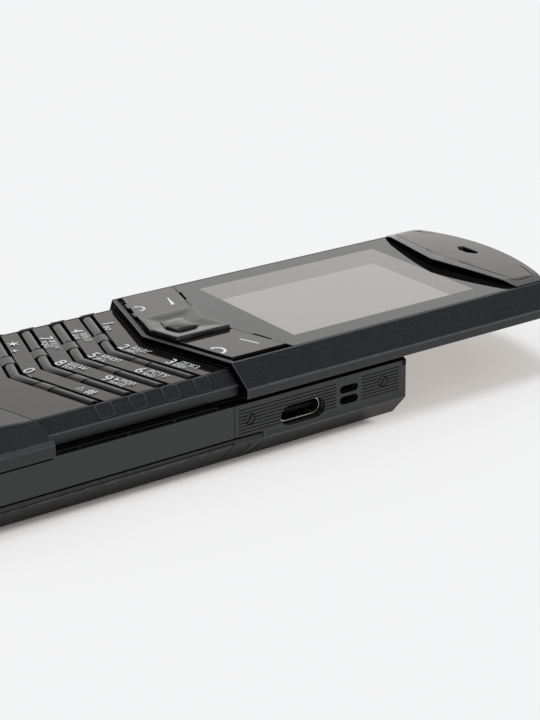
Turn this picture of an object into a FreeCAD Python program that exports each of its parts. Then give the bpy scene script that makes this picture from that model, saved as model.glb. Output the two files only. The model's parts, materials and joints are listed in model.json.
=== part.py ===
"""Slider phone: a display slide that runs along rails on a base with a chevron keypad.

Millimetres. X is across the phone, +Y is towards the earpiece end and +Z is up from the rear cover.
The origin is the centre of the base's rear face. The phone is modelled open; it closes along -Y by TRAVEL.
Every chevron edge in the keypad and the control panel falls towards the centre line by V_SLOPE; a size that
ends in _V is where such an edge meets the centre line.
"""
import FreeCAD, Part
import math
import os

os.makedirs("parts", exist_ok=True)

# ---------------------------------------------------------------- driving sizes
# plan
V_SLOPE = 0.27                # Y per X of every chevron edge
END_RADIUS = 60.0             # the bowed ends of base and slide
BASE_HALF_W = 22.96
BASE_HALF_LENGTH = 49.6       # to the crown of each bowed end
CAP_SIDE_OVERHANG = 0.35      # end cap and slide, a little wider than the base
CAP_OVERHANG = 0.4            # end cap beyond the base's bottom end
TRAVEL = 35.9                 # how far the slide runs
CAP_LENGTH = 18.55            # end cap, at the centre line
CLOSED_GAP = 0.19             # slide's front edge to the end cap when closed

# heights of the base
REAR_CHAMFER_IN = 2.0
REAR_CHAMFER_H = 3.2
COVER_TOP_Z = 4.45            # parting line between rear cover and side panels
COVER_GAP = 0.10              # rear cover to the frame
COVER_WALL = 1.1
DECK_TOP_Z = 10.35
DECK_T = 1.0
FASCIA_TOP_Z = 15.45
FASCIA_T = 1.2

# rear cover's upper edge, seen from behind
COVER_TIP_MARGIN = 35.3       # its side ends to the crown of the top end
COVER_TIP_IN = 1.96           # width of the steep end of that edge
COVER_TIP_DROP = 4.1          # its fall towards the bottom

# frame and inner pieces of the base
FRAME_WALL = 1.6              # side wall behind the side panels
FRAME_END_WALL = 2.2
FRAME_FLOOR_T = 0.5           # shelf between battery and board
FRAME_REAR_WALL = 1.2         # rear wall above the cover's edge
UPPER_BAY_WALL = 2.0          # wall between the cover's edge and the camera bay
BAY_SIDE_LEDGE = 1.0          # battery bay inside the board bay
BAY_END_GAP = 0.5             # battery to the bay's end walls
BATTERY_SIDE_GAP = 2.06
BATTERY_END_MARGIN = 6.6      # battery to the crown of the bottom end
BATTERY_SEAT_GAP = 0.15
BATTERY_TOP_Z = 4.95
BATTERY_EDGE_R = 0.8
FLOOR_GAP = 0.10
BOARD_T = 0.8
BOARD_EDGE_GAP = 0.2
BOARD_POST = (6.0, 4.5)       # post under the board's upper end, X by Y
CONTACT_BLOCK = (8.0, 2.6)    # battery connector, X by Y
CONTACT_BLOCK_Z = 0.9         # its underside above the cover's inner face
CONTACT_GAP = 0.3
BLADE_PITCH = 2.5
BLADE_W = 1.0
BLADE_Z = (1.4, 2.4)          # above the cover's inner face

# side panels
PANEL_T = 0.8
PANEL_SPLIT_DROP = 5.85       # joint of the two panels below the cover's side ends
PANEL_END_MARGIN = 5.4        # ribbed panel to the crown of the top end
PANEL_JOINT = 0.10
RIB_COUNT = 8
RIB_PITCH = 0.60
RIB_RISE = 0.60               # first groove above the rear cover's edge
RIB_CUT_H = 0.22
RIB_CUT_DEPTH = 0.16
RIB_MARGIN = 0.8              # plain border at the panel's ends and beside the strap slots
SCREW_INSET = (3.12, 4.3)     # from the ribbed panel's start, and from its end
SCREW_Z = 7.4
SCREW_HEAD_R = 1.0
SCREW_HEAD_T = 0.5
SCREW_SHANK_R = 0.5
SCREW_LENGTH = 2.2
SCREW_TIP_GAP = 0.3
SCREW_SLOT = (0.26, 0.22)     # width, depth
SCREW_SLOT_TURN = 55.0        # degrees from flat
SCREW_HEAD_GAP = 0.05
SCREW_SINK = 0.1              # head below the panel's face

# strap slots and USB-C socket in the right side
STRAP_INSET = 9.85            # from the ribbed panel's end
STRAP_LENGTH = 3.95
STRAP_SLOTS_Z = ((5.1, 6.6), (7.2, 8.6))
STRAP_DEPTH = 3.0
USB_TO_STRAP = 7.85           # socket's middle to the strap slots
USB_Z = 6.0
USB_CUT = (9.3, 3.72)         # opening in the panel, Y by Z
USB_SHELL = (8.94, 3.26)
USB_SHELL_WALL = 0.3
USB_SHELL_LENGTH = 7.35
USB_SHELL_BACK = 0.8          # solid end of the shell
USB_RECESS = 1.3              # mouth behind the panel's face
USB_TONGUE = (6.7, 0.7, 4.45)  # width, thickness, length
USB_TONGUE_SETBACK = 0.9

# rails: a flange on the base holds down a tongue on the slide
RAIL_IN = 3.36                # rail's web inside the base's side
RAIL_T = 0.25
RAIL_FOOT = 1.0
RAIL_FLANGE_W = 2.0
RAIL_START_GAP = 1.16         # to the end cap's corner
RAIL_END_GAP = 0.7            # to the ribbed panel's end
RUN_GAP = 0.10                # tongue to deck and to flange
RUN_SIDE_GAP = 0.15
TONGUE_T = 0.25
TONGUE_REACH = 1.4            # under the flange
RISER_T = 0.4
RUNNER_START_GAP = 0.57       # from the slide's front corner
RUNNER_OVERRUN = 1.0          # beyond the rail's end, open
SLIDE_RAIL_GAP = 0.15         # slide's lower edge over the flange
STRIP_T = 0.45                # slotted strip along the base's upper edge
STRIP_H = 0.7
STRIP_START_GAP = 0.36        # to the end cap's corner
STRIP_END_GAP = 3.15          # to the joint of the side panels
STRIP_BRIDGES = (0.136, 0.432, 0.721)   # where they stand, as shares of its length
STRIP_BRIDGE_W = 0.6
STRIP_SLOT_Z = (0.2, 0.5)     # above the deck

# keypad block
BEZEL_SIDE_IN = 1.84          # bezel inside the base's side
BEZEL_CHAMFER_IN = 2.1
BEZEL_SHOULDER_Z = 13.2
BEZEL_RIM = 0.37              # flat rim beside the fascia
BEZEL_LEDGE = 0.75            # ledge below the fascia
BEZEL_SHELF = 0.9             # shelf below the keypad board
SKIRT_W = 2.0                 # foot on the deck, inside the rails
SKIRT_RAIL_GAP = 0.2
SKIRT_INTO_BEZEL = 0.5
BEZEL_RAIL_GAP = 0.25
BLOCK_UNDER_SLIDE = 7.36      # block's upper end beyond the slide's front vertex
BLOCK_END_WALL = 1.0
FASCIA_GAP = 0.10
KEY_ROW_GAP = 7.6             # lower edge of the first row below the slide's front vertex
KEY_ROW_PITCH = 6.19
KEY_ROWS = 4
KEY_SLOT_W = 3.05
KEY_GAP = 0.15
KEY_END_GAP = 0.25            # key's end to the band beside it
KEY_SIDE_IN = 0.75            # outer key's end inside the fascia's edge
MIDDLE_KEY_SHARE = 0.30       # of the fascia's half width
BAND_W = 3.0                  # fixed bands that join the label strips
KEY_PROUD = 0.15
KEY_CROWN = 0.40              # rise of the key's round top
KEY_TRAVEL = 0.30
KEY_FLANGE_T = 0.40
KEY_FLANGE_OUT = 0.5
KEY_FLANGE_GAP = 0.10
KEY_BED_GAP = 0.05            # pressed key to the key mat
KEYMAT_T = 0.4
KEYMAT_EDGE_GAP = 0.25
KEYPAD_BOARD_T = 0.8
PAD_COUNT = 4                 # small raised pads on the bezel's chamfer, one beside each row
PAD_SIZE_Y = 3.1
PAD_PROUD = 0.15
PAD_MARGIN = 0.25             # pad to the chamfer's lower edge
PAD_CORNER = 0.6
PAD_OVER_TOP = 0.15           # pad's reach over the chamfer's upper edge
PAD_FACE_SHARE = 0.35         # share of PAD_PROUD that the chamfer face moves out by

# end cap
CAP_SHOULDER_Z = 12.87        # end cap and slide
CAP_RAMP = 0.04               # rise of its top towards the bottom end
CAP_WALL = 1.6
CAP_END_LEAN = 0.727          # lean of its end per mm above the shoulder
CAP_PLATE_T = 0.6
CAP_PLATE_EDGE = 0.35
CAP_PLATE_END_GAP = 3.1       # plate to the crown of the bottom end
CAP_PLATE_TAPER = 0.09        # narrowing per mm of length
MIC_HOLE_R = 0.5
MIC_HOLE_Z = 1.2              # above the deck

# slide
SLIDE_CHAMFER_IN = 3.26
SLIDE_END_INSET = 1.7
SLIDE_OVER_KEYS = 0.15        # slide's underside over the key tops
BACK_PLATE_T = 0.20
PANEL_STACK_T = 0.45
GLASS_T = 0.55
SLIDE_SIDE_GAP = 0.18         # slide's inner wall to the keypad bezel
SLIDE_CHAMFER_GAP = 0.13
SLIDE_RIM = 0.40              # top rim beside the glass
SLIDE_LEDGE = 1.05            # ledge below the glass
SLIDE_FRONT_RIM = 0.90
THICK_START_GAP = 0.5         # thick end of the slide to the keypad block, closed
THICK_WALL = 1.2
THICK_SIDE_WALL = 1.5         # beyond the tunnel's side
SHOULDER_RISE = 0.21          # tunnel's shoulder above the bezel's
BACK_PLATE_MARGIN = 1.0       # back plate beyond the display
BACK_COVER_T = 0.7
BACK_COVER_LEDGE = 0.8
BACK_COVER_FRONT_GAP = 0.3
FIT_GAP = 0.05                # fixed pieces set into pockets

# display and control panel; the rises are from the slide's front vertex
DISPLAY_SIDE_GAP = 1.4        # to the ledge below the glass
DISPLAY_START_RISE = 7.0      # above the divider
DISPLAY_END_INSET = 16.9      # its end inside the crown of the slide's end
DIVIDER_RISE = 12.96          # glass to control keys
DIVIDER_GAP = 0.20
NOTCH_INSET = (7.5, 3.5)      # notches in the glass's lower edge, from the rocker's outer end
NOTCH_DEPTH = 0.45
GLASS_GAP = 0.05
KEYS_RISE = 1.96
ROCKER_SIDE_GAP = 0.6         # right rocker to the ledge below the glass
ROCKER_RIM_GAP = 0.2          # left rocker, which runs out over the ledge, to the rim
ROCKER_PROUD = 0.08
LEDGE_CLEARANCE = 0.2
ROCKER_RIB_R = 0.12           # rib that the rocker tilts on
ROCKER_RIB_INSET = 1.0
CONTROL_KEY_T = 0.45
CONTROL_BOARD_T = 0.30
CONTROL_BOARD_GAP = 0.4       # to the display
DPAD_HALF_W = 6.2
DPAD_FRONT_RISE = 1.66
DPAD_SIDE_GAP = 0.25
DPAD_RISE = 1.05
DPAD_UNDER = 0.37             # pad's underside below the glass's face
DPAD_DISH = 0.65
DPAD_DISH_IN = 0.2            # dish's edge inside the pad's side
DPAD_BEVEL = 0.35
SELECT_HALF_W = 2.5
SELECT_FRONT_RISE = 4.76
SELECT_LENGTH = 4.4
SELECT_RISE = 0.80
SELECT_UNDER = 0.20
SELECT_GAP = 0.20
SELECT_BEVEL = 0.30
SELECT_STEM_R = 1.2
SELECT_STEM_LENGTH = 0.25
PIVOT_R = (1.8, 3.2)
PIVOT_Z = (0.62, 0.45)        # ring's underside and top below the glass's face

# earpiece cap; the insets are from the crown of the slide's end
EAR_INSET = 16.45             # middle of its upright front wall
EAR_FRONT = ((5.0, 0.85), (10.0, 1.90), (15.0, 3.05))   # (x, y) of the wall's bow from its middle
EAR_FRONT_SLOPE = 0.23        # of the wall beyond the last of these points
EAR_CORNER = 0.8              # corner radius beside the frame
EAR_CROWN = 1.50
EAR_CROWN_INSET = 11.4
EAR_CROWN_R = 250.0
EAR_SIDE_H = 0.35             # cap's sides above the glass
EAR_SIDE_SLOPE = 0.22         # of the fall towards the sides
EAR_LINE_IN = 1.4             # inlay line inside the cap's sides
EAR_LINE_INSET = 14.1         # middle of its front
EAR_LINE_BOW = 0.8            # its bow as a share of the front wall's
EAR_LINE_CORNER = 1.6
EAR_LINE_END_INSET = 5.0      # where it ends beside the hole
EAR_LINE_W = 0.10
EAR_LINE_SIDE_W = 0.22
EAR_LINE_DEPTH = 0.10
EAR_HOLE_INSET = 7.45
EAR_HOLE = (5.6, 2.1)
EAR_HOLE_FRONT, EAR_HOLE_BACK = 0.4, 0.8   # shares of its width at the front and the back
EAR_RECEIVER = (10.0, 6.0, 2.6)
EAR_MESH_T = 0.12
EAR_MESH_DEPTH = 0.9

# loose fittings
MAGNET = (6.0, 3.0, 0.9)
MAGNET_IN = 7.6               # its middle inside the rail
MAGNET_END_MARGIN = 4.6       # upper pair to the crown of the top end
MAGNET_SLIDE_INSET = 1.5      # slide's magnets behind the thick end's front wall
BUMPER = (3.0, 0.8, 0.6)
BUMPER_BEYOND_RAIL = 0.2
FLEX_HALF_W = 6.0
FLEX_T = 0.15
FLEX_Z = 11.45
FLEX_INSERT = 5.1             # its end inside the keypad block, open
FLEX_SLIT = 0.6               # clearance in the slits that it passes through
FLEX_HEAD = 8.0               # length on the slide's inner floor
FLEX_PLUG = (4.5, 7.5)        # its connector's start and end
FLEX_PLUG_IN = 1.0            # connector inside the circuit's edge
FLEX_PLUG_T = 0.2
FLEX_FRONT_GAP = 0.05

# pieces on the main board; a margin is to the board's side or to the crown of the base's end
SHIELD_H = 1.8
SHIELD_SIDE_MARGINS = (5.36, 4.36)
SHIELD_END_MARGINS = (18.6, 20.6)
SHIELD_INNER_X = (-1.0, 2.0)
SHIELD_BATTERY_GAP = 7.0      # shields end below the battery's end
SIM = (15.0, 14.0, 1.4)
SIM_SIDE_MARGIN = 4.36
SIM_BATTERY_GAP = 4.0         # holder starts beyond the battery's end
SPEAKER = (11.0, 2.7)         # Y by Z
SPEAKER_SIDE_MARGIN = 11.36
SPEAKER_END_MARGIN = 4.6
MIC = (3.5, 3.0, 1.1)
MIC_SIDE_MARGIN = 9.36
MIC_END_GAP = 0.12            # to the frame's end wall
MOTOR_R = 4.0
MOTOR_H = 2.6
MOTOR_MARGINS = (8.36, 13.6)
CAMERA_MARGINS = (12.36, 15.6)
CAMERA_WINDOW_R = 4.2
CAMERA_WINDOW_T = 0.6
CAMERA_WINDOW_SINK = 0.1
CAMERA_BODY = 8.6
CAMERA_BARREL_R = 3.1
CAMERA_BARREL_H = 1.6
KEY_NAMES = (("1", "2", "3"), ("4", "5", "6"), ("7", "8", "9"), ("star", "0", "hash"))

# ---------------------------------------------------------------- sizes that follow
FAR = 200.0                   # beyond any surface, for cutting tools
OVERLAP = 0.1                 # fused shapes share this much

# base
CAP_HALF_W = BASE_HALF_W + CAP_SIDE_OVERHANG
CAP_BOTTOM_Y = -(BASE_HALF_LENGTH + CAP_OVERHANG)
CAP_V = CAP_BOTTOM_Y + CAP_LENGTH
SLIDE_FRONT_V = CAP_V + CLOSED_GAP + TRAVEL     # open
SLIDE_TOP_Y = TRAVEL - CAP_BOTTOM_Y             # open; flush with the end cap's overhang when closed
COVER_TIP_Y = BASE_HALF_LENGTH - COVER_TIP_MARGIN
COVER_PLAN_Y = COVER_TIP_Y - COVER_TIP_DROP
COVER_PLAN_X = BASE_HALF_W - COVER_TIP_IN
COVER_V = COVER_PLAN_Y - V_SLOPE * COVER_PLAN_X
DECK_BOTTOM_Z = DECK_TOP_Z - DECK_T
PANEL_INNER_X = BASE_HALF_W - PANEL_T
PANEL_BOTTOM_Z = COVER_TOP_Z + COVER_GAP
PANEL_SPLIT_Y = COVER_TIP_Y - PANEL_SPLIT_DROP
PANEL_TOP_END_Y = BASE_HALF_LENGTH - PANEL_END_MARGIN
SCREW_Y = (PANEL_SPLIT_Y + SCREW_INSET[0], PANEL_TOP_END_Y - SCREW_INSET[1])
STRAP_Y = (PANEL_TOP_END_Y - STRAP_INSET - STRAP_LENGTH, PANEL_TOP_END_Y - STRAP_INSET)
USB_Y = STRAP_Y[0] - USB_TO_STRAP
USB_MOUTH_X = BASE_HALF_W - USB_RECESS
USB_BACK_X = USB_MOUTH_X - USB_SHELL_LENGTH
FLOOR_BOTTOM_Z = BATTERY_TOP_Z + FLOOR_GAP
FLOOR_TOP_Z = FLOOR_BOTTOM_Z + FRAME_FLOOR_T
FRAME_INNER_X = PANEL_INNER_X - FRAME_WALL
BATTERY_HALF_W = FRAME_INNER_X - BAY_SIDE_LEDGE - BATTERY_SIDE_GAP
BATTERY_BOTTOM_Y = BATTERY_END_MARGIN - BASE_HALF_LENGTH
BATTERY_BAY_END_Y = COVER_V - COVER_WALL - FIT_GAP - CONTACT_BLOCK[1] - CONTACT_GAP
BATTERY_END_Y = BATTERY_BAY_END_Y - BAY_END_GAP
SHIELD_TOP_Y = BATTERY_END_Y - SHIELD_BATTERY_GAP
SIM_START_Y = BATTERY_END_Y + SIM_BATTERY_GAP
BOARD_TOP_Z = FLOOR_TOP_Z + BOARD_T
BOARD_HALF_W = FRAME_INNER_X - BOARD_EDGE_GAP
SPEAKER_HALF_W = BOARD_HALF_W - SPEAKER_SIDE_MARGIN
MIC_X = BOARD_HALF_W - MIC_SIDE_MARGIN
MOTOR_AT = (BOARD_HALF_W - MOTOR_MARGINS[0], BASE_HALF_LENGTH - MOTOR_MARGINS[1])
CAMERA_AT = (CAMERA_MARGINS[0] - BOARD_HALF_W, BASE_HALF_LENGTH - CAMERA_MARGINS[1])

# rails and runners
CAP_CORNER_Y = CAP_V + V_SLOPE * CAP_HALF_W
SLIDE_CORNER_Y = SLIDE_FRONT_V + V_SLOPE * CAP_HALF_W
RAIL_INNER_X = BASE_HALF_W - RAIL_IN
RAIL_START_Y = CAP_CORNER_Y + RAIL_START_GAP
RAIL_END_Y = PANEL_TOP_END_Y - RAIL_END_GAP
TONGUE_Z = DECK_TOP_Z + RUN_GAP
FLANGE_Z = TONGUE_Z + TONGUE_T + RUN_GAP
FLANGE_TOP_Z = FLANGE_Z + RAIL_T
FLANGE_OUTER_X = RAIL_INNER_X + RAIL_FLANGE_W
RISER_X = FLANGE_OUTER_X + RUN_SIDE_GAP
RISER_OUTER_X = RISER_X + RISER_T
TONGUE_X = FLANGE_OUTER_X - TONGUE_REACH
STRIP_X = RISER_OUTER_X + RUN_SIDE_GAP
STRIP_Y = (CAP_CORNER_Y + STRIP_START_GAP, PANEL_SPLIT_Y - STRIP_END_GAP)

# keypad block
BEZEL_HALF_W = BASE_HALF_W - BEZEL_SIDE_IN
BEZEL_TOP_HALF_W = BEZEL_HALF_W - BEZEL_CHAMFER_IN
BEZEL_BOTTOM_Z = FLANGE_TOP_Z + BEZEL_RAIL_GAP
BLOCK_END_Y = SLIDE_FRONT_V + BLOCK_UNDER_SLIDE
SKIRT_OUTER_X = RAIL_INNER_X - RAIL_FOOT - SKIRT_RAIL_GAP
FASCIA_BOTTOM_Z = FASCIA_TOP_Z - FASCIA_T
FASCIA_HALF_W = BEZEL_TOP_HALF_W - BEZEL_RIM
LEDGE_HALF_W = FASCIA_HALF_W - BEZEL_LEDGE
SHELF_HALF_W = LEDGE_HALF_W - BEZEL_SHELF
BAND_X = (MIDDLE_KEY_SHARE * FASCIA_HALF_W, MIDDLE_KEY_SHARE * FASCIA_HALF_W + BAND_W)
KEY_TOP_Z = FASCIA_TOP_Z + KEY_PROUD
KEY_FLANGE_TOP_Z = FASCIA_BOTTOM_Z - KEY_FLANGE_GAP
KEY_FLANGE_Z = KEY_FLANGE_TOP_Z - KEY_FLANGE_T
KEYMAT_TOP_Z = KEY_FLANGE_Z - KEY_TRAVEL - KEY_BED_GAP
KEYMAT_Z = KEYMAT_TOP_Z - KEYMAT_T
KEYPAD_BOARD_Z = KEYMAT_Z - KEYPAD_BOARD_T

# slide
SLIDE_BOTTOM_Z = FLANGE_TOP_Z + SLIDE_RAIL_GAP
SLIDE_UNDER_Z = KEY_TOP_Z + SLIDE_OVER_KEYS
STACK_Z = SLIDE_UNDER_Z + BACK_PLATE_T
GLASS_Z = STACK_Z + PANEL_STACK_T
SLIDE_TOP_Z = GLASS_Z + GLASS_T
SLIDE_TOP_HALF_W = CAP_HALF_W - SLIDE_CHAMFER_IN
SLIDE_INNER_X = BEZEL_HALF_W + SLIDE_SIDE_GAP
WINDOW_HALF_W = SLIDE_TOP_HALF_W - SLIDE_RIM
WINDOW_V = SLIDE_FRONT_V + SLIDE_FRONT_RIM
LEDGE_INNER_X = WINDOW_HALF_W - SLIDE_LEDGE
THICK_Y = BLOCK_END_Y + THICK_START_GAP + TRAVEL
THICK_INNER_Y = THICK_Y + THICK_WALL
THICK_INNER_X = SLIDE_INNER_X - THICK_SIDE_WALL
FLEX_HEAD_Z = SLIDE_BOTTOM_Z + BACK_COVER_T + FLEX_PLUG_T
FLEX_SLIT_TOP_Z = FLEX_HEAD_Z + FLEX_T + FLEX_SLIT
MAGNET_X = RAIL_INNER_X - MAGNET_IN
MAGNET_OPEN_Y = BASE_HALF_LENGTH - MAGNET_END_MARGIN
MAGNET_SLIDE_Y = THICK_INNER_Y + MAGNET_SLIDE_INSET + MAGNET[1] / 2
MAGNET_CLOSED_Y = MAGNET_SLIDE_Y - TRAVEL

# display, controls and earpiece
EAR_V = SLIDE_TOP_Y - EAR_INSET
EAR_LINE_V = SLIDE_TOP_Y - EAR_LINE_INSET
EAR_LINE_END_Y = SLIDE_TOP_Y - EAR_LINE_END_INSET
EAR_CROWN_Y = SLIDE_TOP_Y - EAR_CROWN_INSET
EAR_HOLE_Y = SLIDE_TOP_Y - EAR_HOLE_INSET
DIVIDER_V = SLIDE_FRONT_V + DIVIDER_RISE
KEYS_BACK_V = DIVIDER_V - DIVIDER_GAP / 2
KEYS_FRONT_V = SLIDE_FRONT_V + KEYS_RISE
DPAD_FRONT_V = SLIDE_FRONT_V + DPAD_FRONT_RISE
SELECT_V = SLIDE_FRONT_V + SELECT_FRONT_RISE
SELECT_Y = SELECT_V + SELECT_LENGTH / 2
DISPLAY_HALF_W = LEDGE_INNER_X - DISPLAY_SIDE_GAP
DISPLAY_Y = (DIVIDER_V + DISPLAY_START_RISE, SLIDE_TOP_Y - DISPLAY_END_INSET)
BACK_PLATE_END_Y = DISPLAY_Y[1] + BACK_PLATE_MARGIN
ROCKER_INNER_X = DPAD_HALF_W + DPAD_SIDE_GAP
ROCKER_OUTER_X = {1: LEDGE_INNER_X - ROCKER_SIDE_GAP, -1: WINDOW_HALF_W - ROCKER_RIM_GAP}
CONTROL_BOARD_TOP_Z = STACK_Z + CONTROL_BOARD_T
CONTROL_BOARD_END_Y = DISPLAY_Y[0] - CONTROL_BOARD_GAP


# ---------------------------------------------------------------- geometry helpers
def vec(x, y, z):
    return FreeCAD.Vector(x, y, z)


def polygon(points):
    """A planar face from 3-D points."""
    corners = [vec(*p) for p in points]
    return Part.Face(Part.makePolygon(corners + corners[:1]))


def block(x0, x1, y0, y1, z0, z1):
    return Part.makeBox(x1 - x0, y1 - y0, z1 - z0, vec(x0, y0, z0))


def mirrored(shape):
    """The same shape on the other side of the centre line."""
    return shape.mirror(vec(0, 0, 0), vec(1, 0, 0))


def both_sides(shape):
    return [shape, mirrored(shape)]


def join(shapes):
    """One fused solid; faces in one plane are merged."""
    result = shapes[0].multiFuse(shapes[1:]) if len(shapes) > 1 else shapes[0]
    return result.removeSplitter()


def sagitta(half_w, radius=END_RADIUS):
    """How far a bowed end falls back at half_w from the centre line."""
    return radius - math.sqrt(radius ** 2 - half_w ** 2)


def lengthwise(section, y0=-FAR, y1=FAR):
    """A prism along Y from an XZ section."""
    return polygon([(x, y0, z) for x, z in section]).extrude(vec(0, y1 - y0, 0))


def symmetric(section):
    """Closes a right-hand half section (x, z) with its mirror image."""
    return section + [(-x, z) for x, z in reversed(section)]


def bowed_end(crown_y, profile, side):
    """The inside of a bowed end; profile is (inset, z) from the crown, side is +1 at the top end."""
    centre_y = crown_y - side * END_RADIUS
    z0, z1 = profile[0][1], profile[-1][1]
    points = [(0.0, z0)] + [(END_RADIUS - inset, z) for inset, z in profile] + [(0.0, z1)]
    face = polygon([(x, centre_y, z) for x, z in points])
    drum = face.revolve(vec(0, centre_y, 0), vec(0, 0, 1), 360)
    start = -FAR if side > 0 else centre_y
    stop = centre_y if side > 0 else FAR
    return join([drum, block(-END_RADIUS - 1, END_RADIUS + 1, start, stop, z0, z1)])


def rectangle(y0, y1, z0, z1):
    """An arm's profile with four corners."""
    return [(y0, z0), (y1, z0), (y1, z1), (y0, z1)]


def arm(profile, x0, x1, slope=V_SLOPE):
    """One arm of a chevron: a (y, z) profile at the centre line, swept from x0 to x1 along the slope."""
    start = polygon([(x0, y + slope * abs(x0), z) for y, z in profile])
    return start.extrude(vec(x1 - x0, slope * (abs(x1) - abs(x0)), 0))


def chevron(profile, half_w, slope=V_SLOPE):
    right = arm(profile, 0, half_w, slope)
    return join([right, mirrored(right)])


def plan_slab(half_w, low_v, high_y, z0, z1):
    """A slab with a chevron lower edge and a straight upper edge."""
    points = [(0, low_v), (half_w, low_v + V_SLOPE * half_w), (half_w, high_y)]
    points += [(-x, y) for x, y in reversed(points[1:])]
    return polygon([(x, y, z0) for x, y in points]).extrude(vec(0, 0, z1 - z0))


def stadium(length, height, x0, x1, y, z):
    """A slot with round ends, running along Y, swept along X."""
    r = height / 2
    half = length / 2 - r
    bar = block(x0, x1, y - half, y + half, z - r, z + r)
    ends = [Part.makeCylinder(r, x1 - x0, vec(x0, y + s * half, z), vec(1, 0, 0)) for s in (-1, 1)]
    return join([bar] + ends)


def save(name, shape):
    """Writes one node; a list becomes separate solids in it."""
    if isinstance(shape, list):
        shape = Part.makeCompound(shape)
    for solid in shape.Solids:
        if not solid.isValid() or solid.Volume <= 0:
            print("check", name, solid.isValid(), solid.Volume)
    shape.exportStep("parts/" + name + ".step")
    print("%-20s solids %2d volume %9.3f" % (name, len(shape.Solids), shape.Volume))


# ---------------------------------------------------------------- envelopes
def base_envelope(z0, z1, inset=0.0):
    """The base between two heights, with its lower chamfer and bowed ends, shrunk by inset."""
    w = BASE_HALF_W - inset
    section = symmetric([(w - REAR_CHAMFER_IN, inset), (w, REAR_CHAMFER_H + inset), (w, FAR)])
    crown = BASE_HALF_LENGTH - inset
    profile = [(REAR_CHAMFER_IN, inset), (0, REAR_CHAMFER_H + inset), (0, FAR)]
    shape = lengthwise(section)
    for side in (1, -1):
        shape = shape.common(bowed_end(side * crown, profile, side))
    return shape.common(block(-FAR, FAR, -FAR, FAR, z0, z1))


def inner_room(half_w, end_inset, z0, z1):
    """A room inside the base with upright walls: straight sides and bowed ends."""
    room = block(-half_w, half_w, -FAR, FAR, z0, z1)
    for side in (1, -1):
        room = room.common(bowed_end(side * (BASE_HALF_LENGTH - end_inset), [(0, z0), (0, z1)], side))
    return room


def cover_plan(grow, z0, z1):
    """Everything below the rear cover's upper edge, moved outwards by grow."""
    points = [(0, COVER_V), (COVER_PLAN_X, COVER_PLAN_Y), (BASE_HALF_W, COVER_TIP_Y), (FAR, COVER_TIP_Y)]
    points = [(x, y + grow) for x, y in points] + [(FAR, -FAR)]
    points += [(-x, y) for x, y in reversed(points) if x > 0]
    return polygon([(x, y, z0) for x, y in points]).extrude(vec(0, 0, z1 - z0))


def panel_recess():
    """The pocket for both side panels."""
    right = block(PANEL_INNER_X, FAR, -FAR, PANEL_TOP_END_Y, PANEL_BOTTOM_Z, DECK_TOP_Z + 1)
    return right.fuse(mirrored(right))


def side_bar(radius, x0, x1, y):
    """A round bar along X at the height of the side screws."""
    return Part.makeCylinder(radius, x1 - x0, vec(x0, y, SCREW_Z), vec(1, 0, 0))


def usb_opening(x0):
    return stadium(USB_CUT[0], USB_CUT[1], x0, BASE_HALF_W + 1, USB_Y, USB_Z)


def strap_openings(x0):
    y = (STRAP_Y[0] + STRAP_Y[1]) / 2
    return [stadium(STRAP_LENGTH, z1 - z0, x0, BASE_HALF_W + 1, y, (z0 + z1) / 2) for z0, z1 in STRAP_SLOTS_Z]


# ---------------------------------------------------------------- base: casing
def rear_cover():
    shell = base_envelope(0, COVER_TOP_Z).common(cover_plan(0, -1, COVER_TOP_Z + 1))
    hollow = base_envelope(COVER_WALL, COVER_TOP_Z + 1, COVER_WALL)
    return shell.cut(hollow.common(cover_plan(-COVER_WALL, 0, FAR)))


def main_frame():
    body = base_envelope(0, DECK_BOTTOM_Z)
    body = body.cut(cover_plan(COVER_GAP, -1, PANEL_BOTTOM_Z))
    body = body.cut(panel_recess())
    board_bay = inner_room(FRAME_INNER_X, FRAME_END_WALL, FLOOR_TOP_Z, FAR)
    bay_half = FRAME_INNER_X - BAY_SIDE_LEDGE
    bay_start_y = BATTERY_BOTTOM_Y - BAY_END_GAP
    battery_bay = block(-bay_half, bay_half, bay_start_y, BATTERY_BAY_END_Y, 0, FLOOR_BOTTOM_Z)
    upper_bay = inner_room(FRAME_INNER_X, FRAME_END_WALL, FRAME_REAR_WALL, FLOOR_TOP_Z + 1)
    upper_bay = upper_bay.common(block(-FAR, FAR, COVER_TIP_Y + UPPER_BAY_WALL, FAR, 0, FAR))
    contact_half = CONTACT_BLOCK[0] / 2 + CONTACT_GAP
    contact_end = BATTERY_BAY_END_Y + CONTACT_BLOCK[1] + 2 * CONTACT_GAP
    contact_hole = block(-contact_half, contact_half, BATTERY_BAY_END_Y, contact_end, 0, FAR)
    window = Part.makeCylinder(CAMERA_WINDOW_R + FIT_GAP, FRAME_REAR_WALL + 1, vec(*CAMERA_AT, -0.5))
    for tool in (board_bay, battery_bay, upper_bay, contact_hole, window):
        body = body.cut(tool)
    width, length = BOARD_POST
    wall_y = BASE_HALF_LENGTH - FRAME_END_WALL
    foot_z = FRAME_REAR_WALL - OVERLAP
    body = body.fuse(block(-width / 2, width / 2, wall_y - length, wall_y + OVERLAP, foot_z, FLOOR_TOP_Z))
    body = body.cut(usb_opening(FRAME_INNER_X - 1))
    for tool in strap_openings(BASE_HALF_W - STRAP_DEPTH):
        body = body.cut(tool)
    for y in SCREW_Y:
        for tool in both_sides(side_bar(SCREW_SHANK_R, BASE_HALF_W - SCREW_LENGTH - SCREW_TIP_GAP, FAR, y)):
            body = body.cut(tool)
    return body.removeSplitter()


def base_deck():
    deck = base_envelope(DECK_BOTTOM_Z, DECK_TOP_Z).cut(panel_recess())
    for magnet in base_magnets():
        deck = deck.cut(magnet)
    return deck.removeSplitter()


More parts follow.
